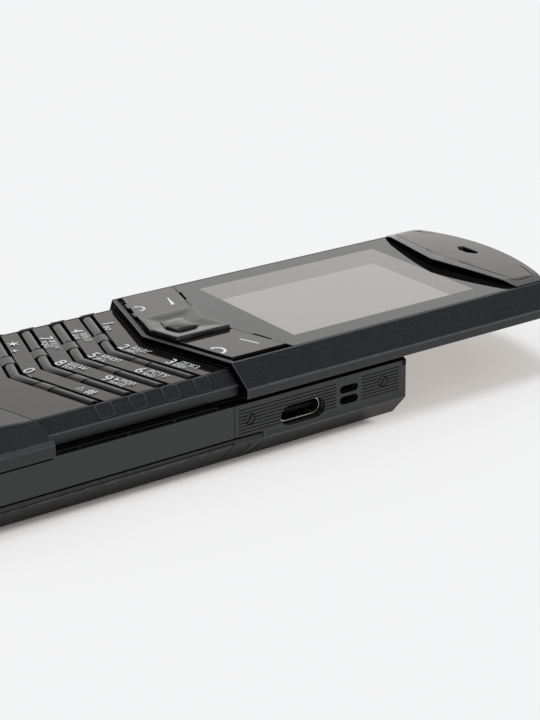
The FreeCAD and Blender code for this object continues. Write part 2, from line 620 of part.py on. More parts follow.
def side_panel(side):
    """The plain panel; side is +1 on the right."""
    end_y = PANEL_SPLIT_Y - PANEL_JOINT / 2
    plate = block(PANEL_INNER_X, BASE_HALF_W, -FAR, end_y, PANEL_BOTTOM_Z, DECK_TOP_Z)
    plate = plate.common(base_envelope(0, FAR))
    return plate if side > 0 else mirrored(plate)


def ribbed_panel(side):
    """The grooved panel; the right one holds the USB opening and the strap slots."""
    start = PANEL_SPLIT_Y + PANEL_JOINT / 2
    plate = block(PANEL_INNER_X, BASE_HALF_W, start, PANEL_TOP_END_Y - FIT_GAP, PANEL_BOTTOM_Z, DECK_TOP_Z)
    starts = (start + RIB_MARGIN, STRAP_Y[1] + RIB_MARGIN)
    stops = (STRAP_Y[0] - RIB_MARGIN, PANEL_TOP_END_Y - RIB_MARGIN)
    for y0, y1 in zip(starts, stops):
        for i in range(RIB_COUNT):
            z = COVER_TOP_Z + RIB_RISE + i * RIB_PITCH
            plate = plate.cut(block(BASE_HALF_W - RIB_CUT_DEPTH, FAR, y0, y1, z, z + RIB_CUT_H))
    for y in SCREW_Y:
        plate = plate.cut(side_bar(SCREW_SHANK_R, PANEL_INNER_X - 1, FAR, y))
        seat_x = BASE_HALF_W - SCREW_SINK - SCREW_HEAD_T
        plate = plate.cut(side_bar(SCREW_HEAD_R + SCREW_HEAD_GAP, seat_x, FAR, y))
    if side > 0:
        plate = plate.cut(usb_opening(PANEL_INNER_X - 1))
        for tool in strap_openings(PANEL_INNER_X - 1):
            plate = plate.cut(tool)
        return plate
    return mirrored(plate)


def side_screws():
    screws = []
    face_x = BASE_HALF_W - SCREW_SINK
    seat_x = face_x - SCREW_HEAD_T
    slot_w, slot_depth = SCREW_SLOT
    for y in SCREW_Y:
        head = side_bar(SCREW_HEAD_R, seat_x, face_x, y)
        shank = side_bar(SCREW_SHANK_R, BASE_HALF_W - SCREW_LENGTH, seat_x, y)
        slot = block(face_x - slot_depth, FAR, -FAR, FAR, -slot_w / 2, slot_w / 2)
        slot.rotate(vec(0, 0, 0), vec(1, 0, 0), SCREW_SLOT_TURN)
        slot.translate(vec(0, y, SCREW_Z))
        screws += both_sides(join([head, shank]).cut(slot))
    return screws


# ---------------------------------------------------------------- base: electronics
def battery():
    cell = block(-BATTERY_HALF_W, BATTERY_HALF_W, BATTERY_BOTTOM_Y, BATTERY_END_Y,
                 COVER_WALL + BATTERY_SEAT_GAP, BATTERY_TOP_Z)
    long_edges = [e for e in cell.Edges if abs(e.tangentAt(0).y) > 0.9]
    return cell.makeFillet(BATTERY_EDGE_R, long_edges)


def battery_contacts():
    """The connector block under the board, with its three blades."""
    width, length = CONTACT_BLOCK
    y0 = BATTERY_BAY_END_Y + CONTACT_GAP
    body = block(-width / 2, width / 2, y0, y0 + length, COVER_WALL + CONTACT_BLOCK_Z, FLOOR_TOP_Z)
    z0, z1 = (COVER_WALL + z for z in BLADE_Z)
    starts = [side * BLADE_PITCH - BLADE_W / 2 for side in (-1, 0, 1)]
    blades = [block(x, x + BLADE_W, BATTERY_END_Y + FIT_GAP, y0, z0, z1) for x in starts]
    return join([body] + blades)


def main_board():
    board = inner_room(BOARD_HALF_W, FRAME_END_WALL + BOARD_EDGE_GAP, FLOOR_TOP_Z, BOARD_TOP_Z)
    half_notch = USB_SHELL[0] / 2
    return board.cut(block(USB_BACK_X, FAR, USB_Y - half_notch, USB_Y + half_notch, 0, FAR))


def usb_bore(x1):
    """The inside of the socket's shell, out to x1."""
    width, height = (size - 2 * USB_SHELL_WALL for size in USB_SHELL)
    return stadium(width, height, USB_BACK_X + USB_SHELL_BACK, x1, USB_Y, USB_Z)


def usb_shell():
    outer = stadium(USB_SHELL[0], USB_SHELL[1], USB_BACK_X, USB_MOUTH_X, USB_Y, USB_Z)
    return outer.cut(usb_bore(USB_MOUTH_X + 1))


def usb_tongue():
    width, thick, length = USB_TONGUE
    front = USB_MOUTH_X - USB_TONGUE_SETBACK
    y0, z0 = USB_Y - width / 2, USB_Z - thick / 2
    blade = block(front - length, front, y0, y0 + width, z0, z0 + thick)
    return join([blade, usb_bore(front - length)])


def on_board(x0, x1, y0, y1, height):
    """A boxy component on the main board."""
    return block(x0, x1, y0, y1, BOARD_TOP_Z, BOARD_TOP_Z + height)


def rf_shields():
    left = on_board(SHIELD_SIDE_MARGINS[0] - BOARD_HALF_W, SHIELD_INNER_X[0],
                    SHIELD_END_MARGINS[0] - BASE_HALF_LENGTH, SHIELD_TOP_Y, SHIELD_H)
    right = on_board(SHIELD_INNER_X[1], BOARD_HALF_W - SHIELD_SIDE_MARGINS[1],
                     SHIELD_END_MARGINS[1] - BASE_HALF_LENGTH, SHIELD_TOP_Y, SHIELD_H)
    return [left, right]


def sim_holder():
    x0 = SIM_SIDE_MARGIN - BOARD_HALF_W
    return on_board(x0, x0 + SIM[0], SIM_START_Y, SIM_START_Y + SIM[1], SIM[2])


def loudspeaker():
    y0 = SPEAKER_END_MARGIN - BASE_HALF_LENGTH
    return on_board(-SPEAKER_HALF_W, SPEAKER_HALF_W, y0, y0 + SPEAKER[0], SPEAKER[1])


def microphone():
    y0 = FRAME_END_WALL + sagitta(MIC_X + MIC[0]) + MIC_END_GAP - BASE_HALF_LENGTH
    return on_board(MIC_X, MIC_X + MIC[0], y0, y0 + MIC[1], MIC[2])


def vibration_motor():
    return Part.makeCylinder(MOTOR_R, MOTOR_H, vec(*MOTOR_AT, BOARD_TOP_Z))


def camera_module():
    x, y = CAMERA_AT
    barrel_z = CAMERA_WINDOW_SINK + CAMERA_WINDOW_T + FIT_GAP
    barrel = Part.makeCylinder(CAMERA_BARREL_R, CAMERA_BARREL_H, vec(x, y, barrel_z))
    half = CAMERA_BODY / 2
    body = block(x - half, x + half, y - half, y + half, barrel_z + CAMERA_BARREL_H, FLOOR_TOP_Z)
    return join([barrel, body])


def camera_window():
    return Part.makeCylinder(CAMERA_WINDOW_R, CAMERA_WINDOW_T, vec(*CAMERA_AT, CAMERA_WINDOW_SINK))


# ---------------------------------------------------------------- base: rails
def guide_rails():
    foot = block(RAIL_INNER_X - RAIL_FOOT, RAIL_INNER_X + RAIL_T, RAIL_START_Y, RAIL_END_Y,
                 DECK_TOP_Z, DECK_TOP_Z + RAIL_T)
    web = block(RAIL_INNER_X, RAIL_INNER_X + RAIL_T, RAIL_START_Y, RAIL_END_Y, DECK_TOP_Z, FLANGE_TOP_Z)
    flange = block(RAIL_INNER_X, FLANGE_OUTER_X, RAIL_START_Y, RAIL_END_Y, FLANGE_Z, FLANGE_TOP_Z)
    return both_sides(join([foot, web, flange]))


def edge_strips():
    """Slotted strips beside the keypad, on the upper edge of the side panels."""
    strip = block(STRIP_X, STRIP_X + STRIP_T, STRIP_Y[0], STRIP_Y[1], DECK_TOP_Z, DECK_TOP_Z + STRIP_H)
    bridges = [STRIP_Y[0] + share * (STRIP_Y[1] - STRIP_Y[0]) for share in STRIP_BRIDGES]
    starts, stops = [STRIP_Y[0]] + bridges, bridges + [STRIP_Y[1]]
    for y0, y1 in zip(starts, stops):
        strip = strip.cut(block(STRIP_X - 1, FAR, y0 + STRIP_BRIDGE_W / 2, y1 - STRIP_BRIDGE_W / 2,
                                DECK_TOP_Z + STRIP_SLOT_Z[0], DECK_TOP_Z + STRIP_SLOT_Z[1]))
    return both_sides(strip)


def travel_bumpers():
    """Soft stops on the deck beside the rails' upper ends."""
    width, length, height = BUMPER
    y = RAIL_END_Y + BUMPER_BEYOND_RAIL
    x = RAIL_INNER_X - RAIL_FOOT - width
    return both_sides(block(x, x + width, y - length, y, DECK_TOP_Z, DECK_TOP_Z + height))


def magnet_pair(y, z0):
    length, width, depth = MAGNET
    x0 = MAGNET_X - length / 2
    return both_sides(block(x0, x0 + length, y - width / 2, y + width / 2, z0, z0 + depth))


def base_magnets():
    z0 = DECK_TOP_Z - MAGNET[2]
    return magnet_pair(MAGNET_OPEN_Y, z0) + magnet_pair(MAGNET_CLOSED_Y, z0)


# ---------------------------------------------------------------- base: keypad
def key_row_v(row):
    """Where the row's lower edge meets the centre line."""
    return SLIDE_FRONT_V - KEY_ROW_GAP - row * KEY_ROW_PITCH


def bezel_section(grow=0.0):
    """The bezel's XZ section: upright sides below a chamfer that leans in."""
    out = grow * PAD_FACE_SHARE
    return symmetric([(BEZEL_HALF_W + grow, BEZEL_BOTTOM_Z), (BEZEL_HALF_W + grow, BEZEL_SHOULDER_Z + out),
                      (BEZEL_TOP_HALF_W + out, FASCIA_TOP_Z + grow)])


def keypad_bezel():
    ring = lengthwise(bezel_section()).common(plan_slab(BEZEL_HALF_W + 2, CAP_V, BLOCK_END_Y, 0, FAR))
    back = BLOCK_END_Y - BLOCK_END_WALL
    low = CAP_V + BLOCK_END_WALL
    ring = ring.cut(plan_slab(FASCIA_HALF_W, CAP_V - 5, back, FASCIA_BOTTOM_Z, FAR))
    ring = ring.cut(plan_slab(LEDGE_HALF_W, low, back, KEYPAD_BOARD_Z, FASCIA_BOTTOM_Z + OVERLAP))
    ring = ring.cut(plan_slab(SHELF_HALF_W, low, back, 0, KEYPAD_BOARD_Z + OVERLAP))
    slit_half = FLEX_HALF_W + FLEX_SLIT
    ring = ring.cut(block(-slit_half, slit_half, back - 1, BLOCK_END_Y + 1, 0, FLEX_Z + FLEX_T + FLEX_SLIT))
    skirt_top = BEZEL_BOTTOM_Z + SKIRT_INTO_BEZEL
    skirt = block(SKIRT_OUTER_X - SKIRT_W, SKIRT_OUTER_X, RAIL_START_Y, back, DECK_TOP_Z, skirt_top)
    pieces = [ring] + both_sides(skirt)
    for i in range(PAD_COUNT):
        y = key_row_v(i) + V_SLOPE * BEZEL_HALF_W
        x0, x1 = BEZEL_TOP_HALF_W - PAD_OVER_TOP, BEZEL_HALF_W - PAD_MARGIN
        pad = block(x0, x1, y, y + PAD_SIZE_Y, BEZEL_SHOULDER_Z, FAR)
        pad = pad.makeFillet(PAD_CORNER, [e for e in pad.Edges if abs(e.tangentAt(0).z) > 0.9])
        pieces += both_sides(pad.common(lengthwise(bezel_section(PAD_PROUD))))
    return join(pieces)


def key_bar(v, x0, x1, side_gap, z0):
    """A bar along one arm of a row, with straight sides and a round top."""
    y0, y1 = v + side_gap, v + KEY_SLOT_W - side_gap
    z1 = KEY_TOP_Z - KEY_CROWN

    def at(y, z):
        return vec(x0, y + V_SLOPE * abs(x0), z)

    edges = [Part.LineSegment(at(y0, z1), at(y0, z0)).toShape(),
             Part.LineSegment(at(y0, z0), at(y1, z0)).toShape(),
             Part.LineSegment(at(y1, z0), at(y1, z1)).toShape(),
             Part.Arc(at(y1, z1), at((y0 + y1) / 2, KEY_TOP_Z), at(y0, z1)).toShape()]
    face = Part.Face(Part.Wire(edges))
    return face.extrude(vec(x1 - x0, V_SLOPE * (abs(x1) - abs(x0)), 0))


def key(row, column):
    """column is -1, 0 or +1; the middle key is a chevron of two arms."""
    v = key_row_v(row)
    bar_z = FASCIA_BOTTOM_Z + KEY_TRAVEL + KEY_BED_GAP
    if column == 0:
        start, reach = 0.0, BAND_X[0] - KEY_END_GAP
        flange_reach = reach
    else:
        start, reach = BAND_X[1] + KEY_END_GAP, FASCIA_HALF_W - KEY_SIDE_IN
        flange_reach = LEDGE_HALF_W - 2 * KEY_GAP
    low, high = v + KEY_GAP, v + KEY_SLOT_W - KEY_GAP
    bar = key_bar(v, start, reach, KEY_GAP, bar_z)
    stem = arm(rectangle(low, high, KEY_FLANGE_Z, bar_z + OVERLAP), start, flange_reach)
    low, high = v - KEY_FLANGE_OUT, v + KEY_SLOT_W + KEY_FLANGE_OUT
    flange = arm(rectangle(low, high, KEY_FLANGE_Z, KEY_FLANGE_TOP_Z), start, flange_reach)
    half = join([bar, stem, flange])
    if column == 0:
        return join([half, mirrored(half)])
    return half if column > 0 else mirrored(half)


def keypad_fascia():
    """Label strips joined by fixed half-round bands, with slots for the keys."""
    half = FASCIA_HALF_W - FASCIA_GAP
    back = BLOCK_END_Y - BLOCK_END_WALL - FASCIA_GAP
    plate = plan_slab(half, CAP_V + FASCIA_GAP, back, FASCIA_BOTTOM_Z, FASCIA_TOP_Z)
    for row in range(KEY_ROWS):
        v = key_row_v(row)
        slot = rectangle(v, v + KEY_SLOT_W, 0, FAR)
        groove = rectangle(v, v + KEY_SLOT_W, FASCIA_TOP_Z - KEY_CROWN, FAR)
        plate = plate.cut(chevron(slot, BAND_X[0]))
        for tool in both_sides(arm(slot, BAND_X[1], FASCIA_HALF_W + 1)) + both_sides(arm(groove, *BAND_X)):
            plate = plate.cut(tool)
        for band in both_sides(key_bar(v, *BAND_X, KEY_GAP / 2, FASCIA_BOTTOM_Z + OVERLAP)):
            plate = plate.fuse(band)
    return plate.removeSplitter()


def under_fascia(gap, z0, z1):
    """A sheet in the room below the fascia, with a gap all round."""
    low = CAP_V + BLOCK_END_WALL + gap
    return plan_slab(LEDGE_HALF_W - gap, low, BLOCK_END_Y - BLOCK_END_WALL - gap, z0, z1)


def keymat():
    return under_fascia(KEYMAT_EDGE_GAP, KEYMAT_Z, KEYMAT_TOP_Z)


def keypad_board():
    return under_fascia(FIT_GAP, KEYPAD_BOARD_Z, KEYMAT_Z)


# ---------------------------------------------------------------- base: end cap
def cap_ramp(drop, v=CAP_V, z0=0.0):
    """Everything below the end cap's sloping top, lowered by drop."""
    end_v = CAP_BOTTOM_Y - sagitta(CAP_HALF_W)
    top = FASCIA_TOP_Z - drop
    end_top = top + CAP_RAMP * (CAP_V - end_v)
    return chevron([(v, z0), (v, top), (end_v, end_top), (end_v, z0)], CAP_HALF_W + 1)


def cap_outline(inset, z0, z1):
    """The cap's sides and bowed end, shrunk by inset."""
    lean = (CAP_HALF_W - BEZEL_TOP_HALF_W) / (FASCIA_TOP_Z - CAP_SHOULDER_Z)
    w = CAP_HALF_W - inset
    shoulder = CAP_SHOULDER_Z - inset / 2
    rise = z1 - shoulder
    sides = lengthwise(symmetric([(w, z0), (w, shoulder), (w - lean * rise, z1)]))
    end = bowed_end(CAP_BOTTOM_Y + inset, [(0, z0), (0, shoulder), (CAP_END_LEAN * rise, z1)], -1)
    return sides.common(end)


def cap_plate_plan(grow):
    """The inlaid plate's outline, narrowing towards the bottom end."""
    half = BEZEL_TOP_HALF_W - CAP_PLATE_EDGE + grow
    y_side = CAP_V + V_SLOPE * half
    end_y = CAP_BOTTOM_Y + CAP_PLATE_END_GAP - grow
    end_half = half - CAP_PLATE_TAPER * (y_side - end_y)
    side_end_y = end_y + sagitta(end_half)
    z = DECK_TOP_Z
    tip, corner, end_corner = vec(0, CAP_V, z), vec(half, y_side, z), vec(end_half, side_end_y, z)
    far_corner, far_end_corner = vec(-half, y_side, z), vec(-end_half, side_end_y, z)
    edges = [Part.LineSegment(tip, corner).toShape(),
             Part.LineSegment(corner, end_corner).toShape(),
             Part.Arc(end_corner, vec(0, end_y, z), far_end_corner).toShape(),
             Part.LineSegment(far_end_corner, far_corner).toShape(),
             Part.LineSegment(far_corner, tip).toShape()]
    return Part.Face(Part.Wire(edges)).extrude(vec(0, 0, FAR))


def end_cap():
    over_z = FASCIA_TOP_Z + CAP_WALL
    shell = cap_outline(0, DECK_TOP_Z, over_z).common(cap_ramp(0))
    shell = shell.cut(cap_outline(CAP_WALL, DECK_TOP_Z, over_z).common(cap_ramp(CAP_WALL, CAP_V - CAP_WALL)))
    shell = shell.cut(cap_plate_plan(FIT_GAP).cut(cap_ramp(CAP_PLATE_T)))
    start = vec(MIC_X + MIC[0] / 2, CAP_BOTTOM_Y - 1, DECK_TOP_Z + MIC_HOLE_Z)
    return shell.cut(Part.makeCylinder(MIC_HOLE_R, 2 * CAP_WALL + 2, start, vec(0, 1, 0)))


def end_cap_plate():
    return cap_plate_plan(0).common(cap_ramp(0)).cut(cap_ramp(CAP_PLATE_T))


# ---------------------------------------------------------------- slide: casing
def slide_outer():
    section = [(CAP_HALF_W, SLIDE_BOTTOM_Z), (CAP_HALF_W, CAP_SHOULDER_Z), (SLIDE_TOP_HALF_W, SLIDE_TOP_Z)]
    profile = [(0, SLIDE_BOTTOM_Z), (0, CAP_SHOULDER_Z), (SLIDE_END_INSET, SLIDE_TOP_Z)]
    body = lengthwise(symmetric(section)).common(bowed_end(SLIDE_TOP_Y, profile, 1))
    return body.common(plan_slab(CAP_HALF_W + 1, SLIDE_FRONT_V, FAR, 0, FAR))


def window_slab(half_w, v, z0, z1, end_inset):
    """The opening in the slide's top: chevron front, bowed end."""
    slab = plan_slab(half_w, v, FAR / 2, z0, z1)
    crown = SLIDE_TOP_Y - SLIDE_END_INSET - end_inset
    return slab.common(bowed_end(crown, [(0, z0), (0, z1)], 1))


def slide_frame():
    body = slide_outer()
    inner_top = BEZEL_TOP_HALF_W + SLIDE_CHAMFER_GAP
    shoulder = BEZEL_SHOULDER_Z + SHOULDER_RISE
    tunnel = symmetric([(SLIDE_INNER_X, 0), (SLIDE_INNER_X, shoulder), (inner_top, SLIDE_UNDER_Z)])
    body = body.cut(lengthwise(tunnel, -FAR, THICK_Y))
    crown = SLIDE_TOP_Y - THICK_WALL - SLIDE_END_INSET
    room = block(-THICK_INNER_X, THICK_INNER_X, THICK_INNER_Y, FAR, 0, SLIDE_UNDER_Z)
    room = room.common(bowed_end(crown, [(0, 0), (0, SLIDE_UNDER_Z)], 1))
    body = body.cut(room)
    body = body.cut(back_cover_plan(FIT_GAP, 0, SLIDE_BOTTOM_Z + BACK_COVER_T))
    body = body.cut(window_slab(WINDOW_HALF_W, WINDOW_V, GLASS_Z, FAR, SLIDE_RIM))
    z0, z1 = SLIDE_UNDER_Z - OVERLAP, GLASS_Z + OVERLAP
    body = body.cut(plan_slab(LEDGE_INNER_X, WINDOW_V, BACK_PLATE_END_Y, z0, z1))
    body = body.cut(ear_hole(GLASS_Z + 1, SLIDE_UNDER_Z - 1))
    slit_half = FLEX_HALF_W + FLEX_SLIT
    body = body.cut(block(-slit_half, slit_half, THICK_Y - 1, THICK_INNER_Y + 1, 0, FLEX_SLIT_TOP_Z))
    return body.removeSplitter()


def back_cover_plan(grow, z0, z1):
    """The back cover's outline, with one bowed end, moved outwards by grow."""
    half = THICK_INNER_X + BACK_COVER_LEDGE + grow
    plate = block(-half, half, THICK_INNER_Y + BACK_COVER_FRONT_GAP - grow, FAR, z0, z1)
    crown = SLIDE_TOP_Y - THICK_WALL - SLIDE_END_INSET + BACK_COVER_LEDGE + grow
    return plate.common(bowed_end(crown, [(0, z0), (0, z1)], 1))


def slide_back_cover():
    return back_cover_plan(0, SLIDE_BOTTOM_Z, SLIDE_BOTTOM_Z + BACK_COVER_T)


def slide_back_plate():
    end_y = BACK_PLATE_END_Y - FIT_GAP
    return plan_slab(LEDGE_INNER_X - FIT_GAP, WINDOW_V + FIT_GAP, end_y, SLIDE_UNDER_Z, STACK_Z)


def display_panel():
    return block(-DISPLAY_HALF_W, DISPLAY_HALF_W, *DISPLAY_Y, STACK_Z, GLASS_Z)


def cover_glass():
    half = WINDOW_HALF_W - GLASS_GAP
    low = DIVIDER_V + DIVIDER_GAP / 2
    plate = plan_slab(half, low, SLIDE_TOP_Y, GLASS_Z, SLIDE_TOP_Z)
    plate = plate.cut(behind_ear_front(half + 1, EAR_V - GLASS_GAP))
    notch = rectangle(low - 1, low + NOTCH_DEPTH, 0, FAR)
    for side, outer in ROCKER_OUTER_X.items():
        plate = plate.cut(arm(notch, *(side * (outer - inset) for inset in NOTCH_INSET)))
    return plate.removeSplitter()


# ---------------------------------------------------------------- slide: controls
def control_board():
    gap = 2 * FIT_GAP
    return plan_slab(LEDGE_INNER_X - gap, WINDOW_V + gap, CONTROL_BOARD_END_Y, STACK_Z, CONTROL_BOARD_TOP_Z)


def rocker(side):
    """Call and soft key on one plate, which tilts about its middle."""
    z0, z1 = SLIDE_TOP_Z - CONTROL_KEY_T, SLIDE_TOP_Z + ROCKER_PROUD
    outer = ROCKER_OUTER_X[side]
    plate = arm(rectangle(KEYS_FRONT_V, KEYS_BACK_V, z0, z1), ROCKER_INNER_X, outer)
    plate = plate.cut(block(LEDGE_INNER_X - LEDGE_CLEARANCE, FAR, 0, FAR, 0, GLASS_Z + LEDGE_CLEARANCE))
    run = vec(1, V_SLOPE, 0)
    start_x = ROCKER_INNER_X + ROCKER_RIB_INSET
    middle_v = (KEYS_FRONT_V + KEYS_BACK_V) / 2
    length = (ROCKER_OUTER_X[1] - ROCKER_RIB_INSET - start_x) * run.Length
    rib = Part.makeCylinder(ROCKER_RIB_R, length, vec(start_x, middle_v + V_SLOPE * start_x, z0), run)
    plate = join([plate, rib])
    return plate if side > 0 else mirrored(plate)


def chevron_block(half_w, v0, v1, z0, z1):
    """A slab between two chevron lines, with no seam at the centre line."""
    points = [(0, v0), (half_w, v0 + V_SLOPE * half_w), (half_w, v1 + V_SLOPE * half_w), (0, v1),
              (-half_w, v1 + V_SLOPE * half_w), (-half_w, v0 + V_SLOPE * half_w)]
    return polygon([(x, y, z0) for x, y in points]).extrude(vec(0, 0, z1 - z0))


def upper_rim(shape, z):
    """The edges of a shape's flat top."""
    return [e for e in shape.Edges if all(abs(p.Point.z - z) < 0.01 for p in e.Vertexes)]


def dpad():
    """The dished navigation pad around the select button."""
    z0, z1 = SLIDE_TOP_Z - DPAD_UNDER, SLIDE_TOP_Z + DPAD_RISE
    pad = chevron_block(DPAD_HALF_W, DPAD_FRONT_V, KEYS_BACK_V, z0, z1)
    pad = pad.makeChamfer(DPAD_BEVEL, upper_rim(pad, z1))
    reach = DPAD_HALF_W - DPAD_DISH_IN
    radius = (reach ** 2 + DPAD_DISH ** 2) / (2 * DPAD_DISH)
    middle_y = (DPAD_FRONT_V + KEYS_BACK_V + V_SLOPE * DPAD_HALF_W) / 2
    pad = pad.cut(Part.makeSphere(radius, vec(0, middle_y, z1 - DPAD_DISH + radius)))
    low, high = SELECT_V - SELECT_GAP, SELECT_V + SELECT_LENGTH + SELECT_GAP
    return pad.cut(chevron_block(SELECT_HALF_W + SELECT_GAP, low, high, 0, FAR))


def select_button():
    z0, z1 = SLIDE_TOP_Z - SELECT_UNDER, SLIDE_TOP_Z + SELECT_RISE
    button = chevron_block(SELECT_HALF_W, SELECT_V, SELECT_V + SELECT_LENGTH, z0, z1)
    button = button.makeChamfer(SELECT_BEVEL, upper_rim(button, z1))
    stem_z = z0 - SELECT_STEM_LENGTH
    stem = Part.makeCylinder(SELECT_STEM_R, SELECT_STEM_LENGTH + OVERLAP, vec(0, SELECT_Y, stem_z))
    return join([button, stem])


def dpad_pivot():
    """The ring that the pad rocks on."""
    z0, z1 = (SLIDE_TOP_Z - depth for depth in PIVOT_Z)
    bore, rim = (Part.makeCylinder(radius, z1 - z0, vec(0, SELECT_Y, z0)) for radius in PIVOT_R)
    return rim.cut(bore)


# ---------------------------------------------------------------- slide: earpiece end
def ear_top(drop=0.0):
    """Everything below the earpiece cap's crowned face and its falling sides."""
    z_glass = SLIDE_TOP_Z - drop
    z_top = z_glass + EAR_CROWN
    ball = Part.makeSphere(EAR_CROWN_R, vec(0, EAR_CROWN_Y, z_top - EAR_CROWN_R))
    reach = 2 * CAP_HALF_W
    dome = ball.common(block(-reach, reach, EAR_CROWN_Y - reach, EAR_CROWN_Y + reach, 0, z_top + 1))
    half = WINDOW_HALF_W - GLASS_GAP
    side, ridge = z_glass + EAR_SIDE_H, z_glass + EAR_SIDE_H + EAR_SIDE_SLOPE * half
    return dome.common(lengthwise([(half, 0), (half, side), (0, ridge), (-half, side), (-half, 0)]))


def ear_hole(z_top, z_bottom):
    """A hexagonal sound hole."""
    half, reach = EAR_HOLE[1] / 2, EAR_HOLE[0] / 2
    right = [(EAR_HOLE_FRONT * reach, -half), (reach, 0), (EAR_HOLE_BACK * reach, half)]
    points = symmetric([(x, y + EAR_HOLE_Y) for x, y in right])
    return polygon([(x, y, z_bottom) for x, y in points]).extrude(vec(0, 0, z_top - z_bottom))


def behind_ear_front(half, v, bow=1.0, corner=0.0):
    """Everything within half of the centre line and behind a bowed front with its middle at v."""
    last_x, last_y = EAR_FRONT[-1]
    end = (half, last_y + EAR_FRONT_SLOPE * (half - last_x))
    right = [(x, v + bow * y) for x, y in (*EAR_FRONT, end)]
    points = [(0, v)] + symmetric([*right, (half, FAR / 2)])
    slab = polygon([(x, y, 0) for x, y in points]).extrude(vec(0, 0, FAR / 2))
    if not corner:
        return slab
    upright = [e for e in slab.Edges if e.BoundBox.ZLength > 1 and abs(e.BoundBox.YMin - right[-1][1]) < OVERLAP]
    return slab.makeFillet(corner, upright)


def ear_plan(inset, v, bow=1.0, corner=0.0):
    """The cap's outline, shrunk by inset."""
    slab = behind_ear_front(WINDOW_HALF_W - GLASS_GAP - inset, v, bow, corner)
    crown = SLIDE_TOP_Y - SLIDE_END_INSET - SLIDE_RIM - GLASS_GAP - inset
    return slab.common(bowed_end(crown, [(0, 0), (0, FAR / 2)], 1))


def earpiece_cap():
    foot = block(-CAP_HALF_W, CAP_HALF_W, 0, FAR / 2, GLASS_Z, FAR / 2)
    body = ear_plan(0, EAR_V, corner=EAR_CORNER).common(foot).common(ear_top())
    outer = ear_plan(EAR_LINE_IN, EAR_LINE_V, EAR_LINE_BOW, EAR_LINE_CORNER)
    inner = ear_plan(EAR_LINE_IN + EAR_LINE_SIDE_W, EAR_LINE_V + EAR_LINE_W, EAR_LINE_BOW, EAR_LINE_CORNER)
    groove = outer.cut(inner).common(block(-CAP_HALF_W, CAP_HALF_W, 0, EAR_LINE_END_Y, 0, FAR / 2))
    return body.cut(groove.cut(ear_top(EAR_LINE_DEPTH))).cut(ear_hole(FAR / 2, 0))


def earpiece_mesh():
    z1 = SLIDE_TOP_Z + EAR_CROWN - EAR_MESH_DEPTH
    return ear_hole(z1, z1 - EAR_MESH_T)


def earpiece_receiver():
    dx, dy, dz = EAR_RECEIVER
    return block(-dx / 2, dx / 2, EAR_HOLE_Y - dy / 2, EAR_HOLE_Y + dy / 2, SLIDE_UNDER_Z - dz, SLIDE_UNDER_Z)


# ---------------------------------------------------------------- slide: running gear
def slide_runners():
    y0, y1 = SLIDE_CORNER_Y + RUNNER_START_GAP, RAIL_END_Y + RUNNER_OVERRUN
    tongue = block(TONGUE_X, RISER_OUTER_X, y0, y1, TONGUE_Z, TONGUE_Z + TONGUE_T)
    riser = block(RISER_X, RISER_OUTER_X, y0, y1, TONGUE_Z, SLIDE_BOTTOM_Z)
    return both_sides(join([tongue, riser]))


def slide_flex():
    """The flexible circuit, laid out straight in the open position."""
    z1 = FLEX_HEAD_Z
    step_y = THICK_INNER_Y + FLEX_FRONT_GAP
    half = FLEX_HALF_W
    tail = block(-half, half, THICK_Y - TRAVEL - FLEX_INSERT, step_y + FLEX_T, FLEX_Z, FLEX_Z + FLEX_T)
    step = block(-half, half, step_y, step_y + FLEX_T, FLEX_Z, z1 + FLEX_T)
    head = block(-half, half, step_y, step_y + FLEX_HEAD, z1, z1 + FLEX_T)
    half -= FLEX_PLUG_IN
    plug_start, plug_end = (step_y + y for y in FLEX_PLUG)
    plug = block(-half, half, plug_start, plug_end, z1 - FLEX_PLUG_T, z1)
    return join([tail, step, head, plug])


def slide_magnets():
    return magnet_pair(MAGNET_SLIDE_Y, SLIDE_BOTTOM_Z + BACK_COVER_T)


# ---------------------------------------------------------------- write the nodes
save("rear_cover", rear_cover())
save("main_frame", main_frame())
save("base_deck", base_deck())
for label, side in (("left", -1), ("right", 1)):
    save("side_panel_" + label, side_panel(side))
    save("ribbed_panel_" + label, ribbed_panel(side))
save("side_screws", side_screws())
save("battery", battery())
save("battery_contacts", battery_contacts())
save("main_board", main_board())
save("usb_shell", usb_shell())
save("usb_tongue", usb_tongue())
save("rf_shields", rf_shields())
save("sim_holder", sim_holder())
save("loudspeaker", loudspeaker())
save("microphone", microphone())
save("vibration_motor", vibration_motor())
save("camera_module", camera_module())
save("camera_window", camera_window())
save("guide_rails", guide_rails())
save("edge_strips", edge_strips())
save("travel_bumpers", travel_bumpers())
save("base_magnets", base_magnets())
save("keypad_bezel", keypad_bezel())
save("keypad_fascia", keypad_fascia())
save("keymat", keymat())
save("keypad_board", keypad_board())
for row, names in enumerate(KEY_NAMES):
    for column, name in zip((-1, 0, 1), names):
        save("key_" + name, key(row, column))
save("end_cap", end_cap())
save("end_cap_plate", end_cap_plate())

save("slide_frame", slide_frame())
save("slide_back_cover", slide_back_cover())
save("slide_back_plate", slide_back_plate())
save("display_panel", display_panel())
save("cover_glass", cover_glass())
save("control_board", control_board())
save("rocker_left", rocker(-1))
save("rocker_right", rocker(1))
save("dpad", dpad())
save("dpad_pivot", dpad_pivot())
save("select_button", select_button())
save("earpiece_cap", earpiece_cap())
save("earpiece_mesh", earpiece_mesh())
save("earpiece_receiver", earpiece_receiver())
save("slide_runners", slide_runners())
save("slide_flex", slide_flex())
save("slide_magnets", slide_magnets())
print("nodes", len([n for n in os.listdir("parts") if n.endswith(".step")]))
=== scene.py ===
"""Dresses the slider phone: rounded edges, finishes, legends, floor, light and camera."""

import json
import math

import bmesh
import bpy
from bpy.props import FloatProperty, FloatVectorProperty, PointerProperty
from mathutils import Matrix, Vector


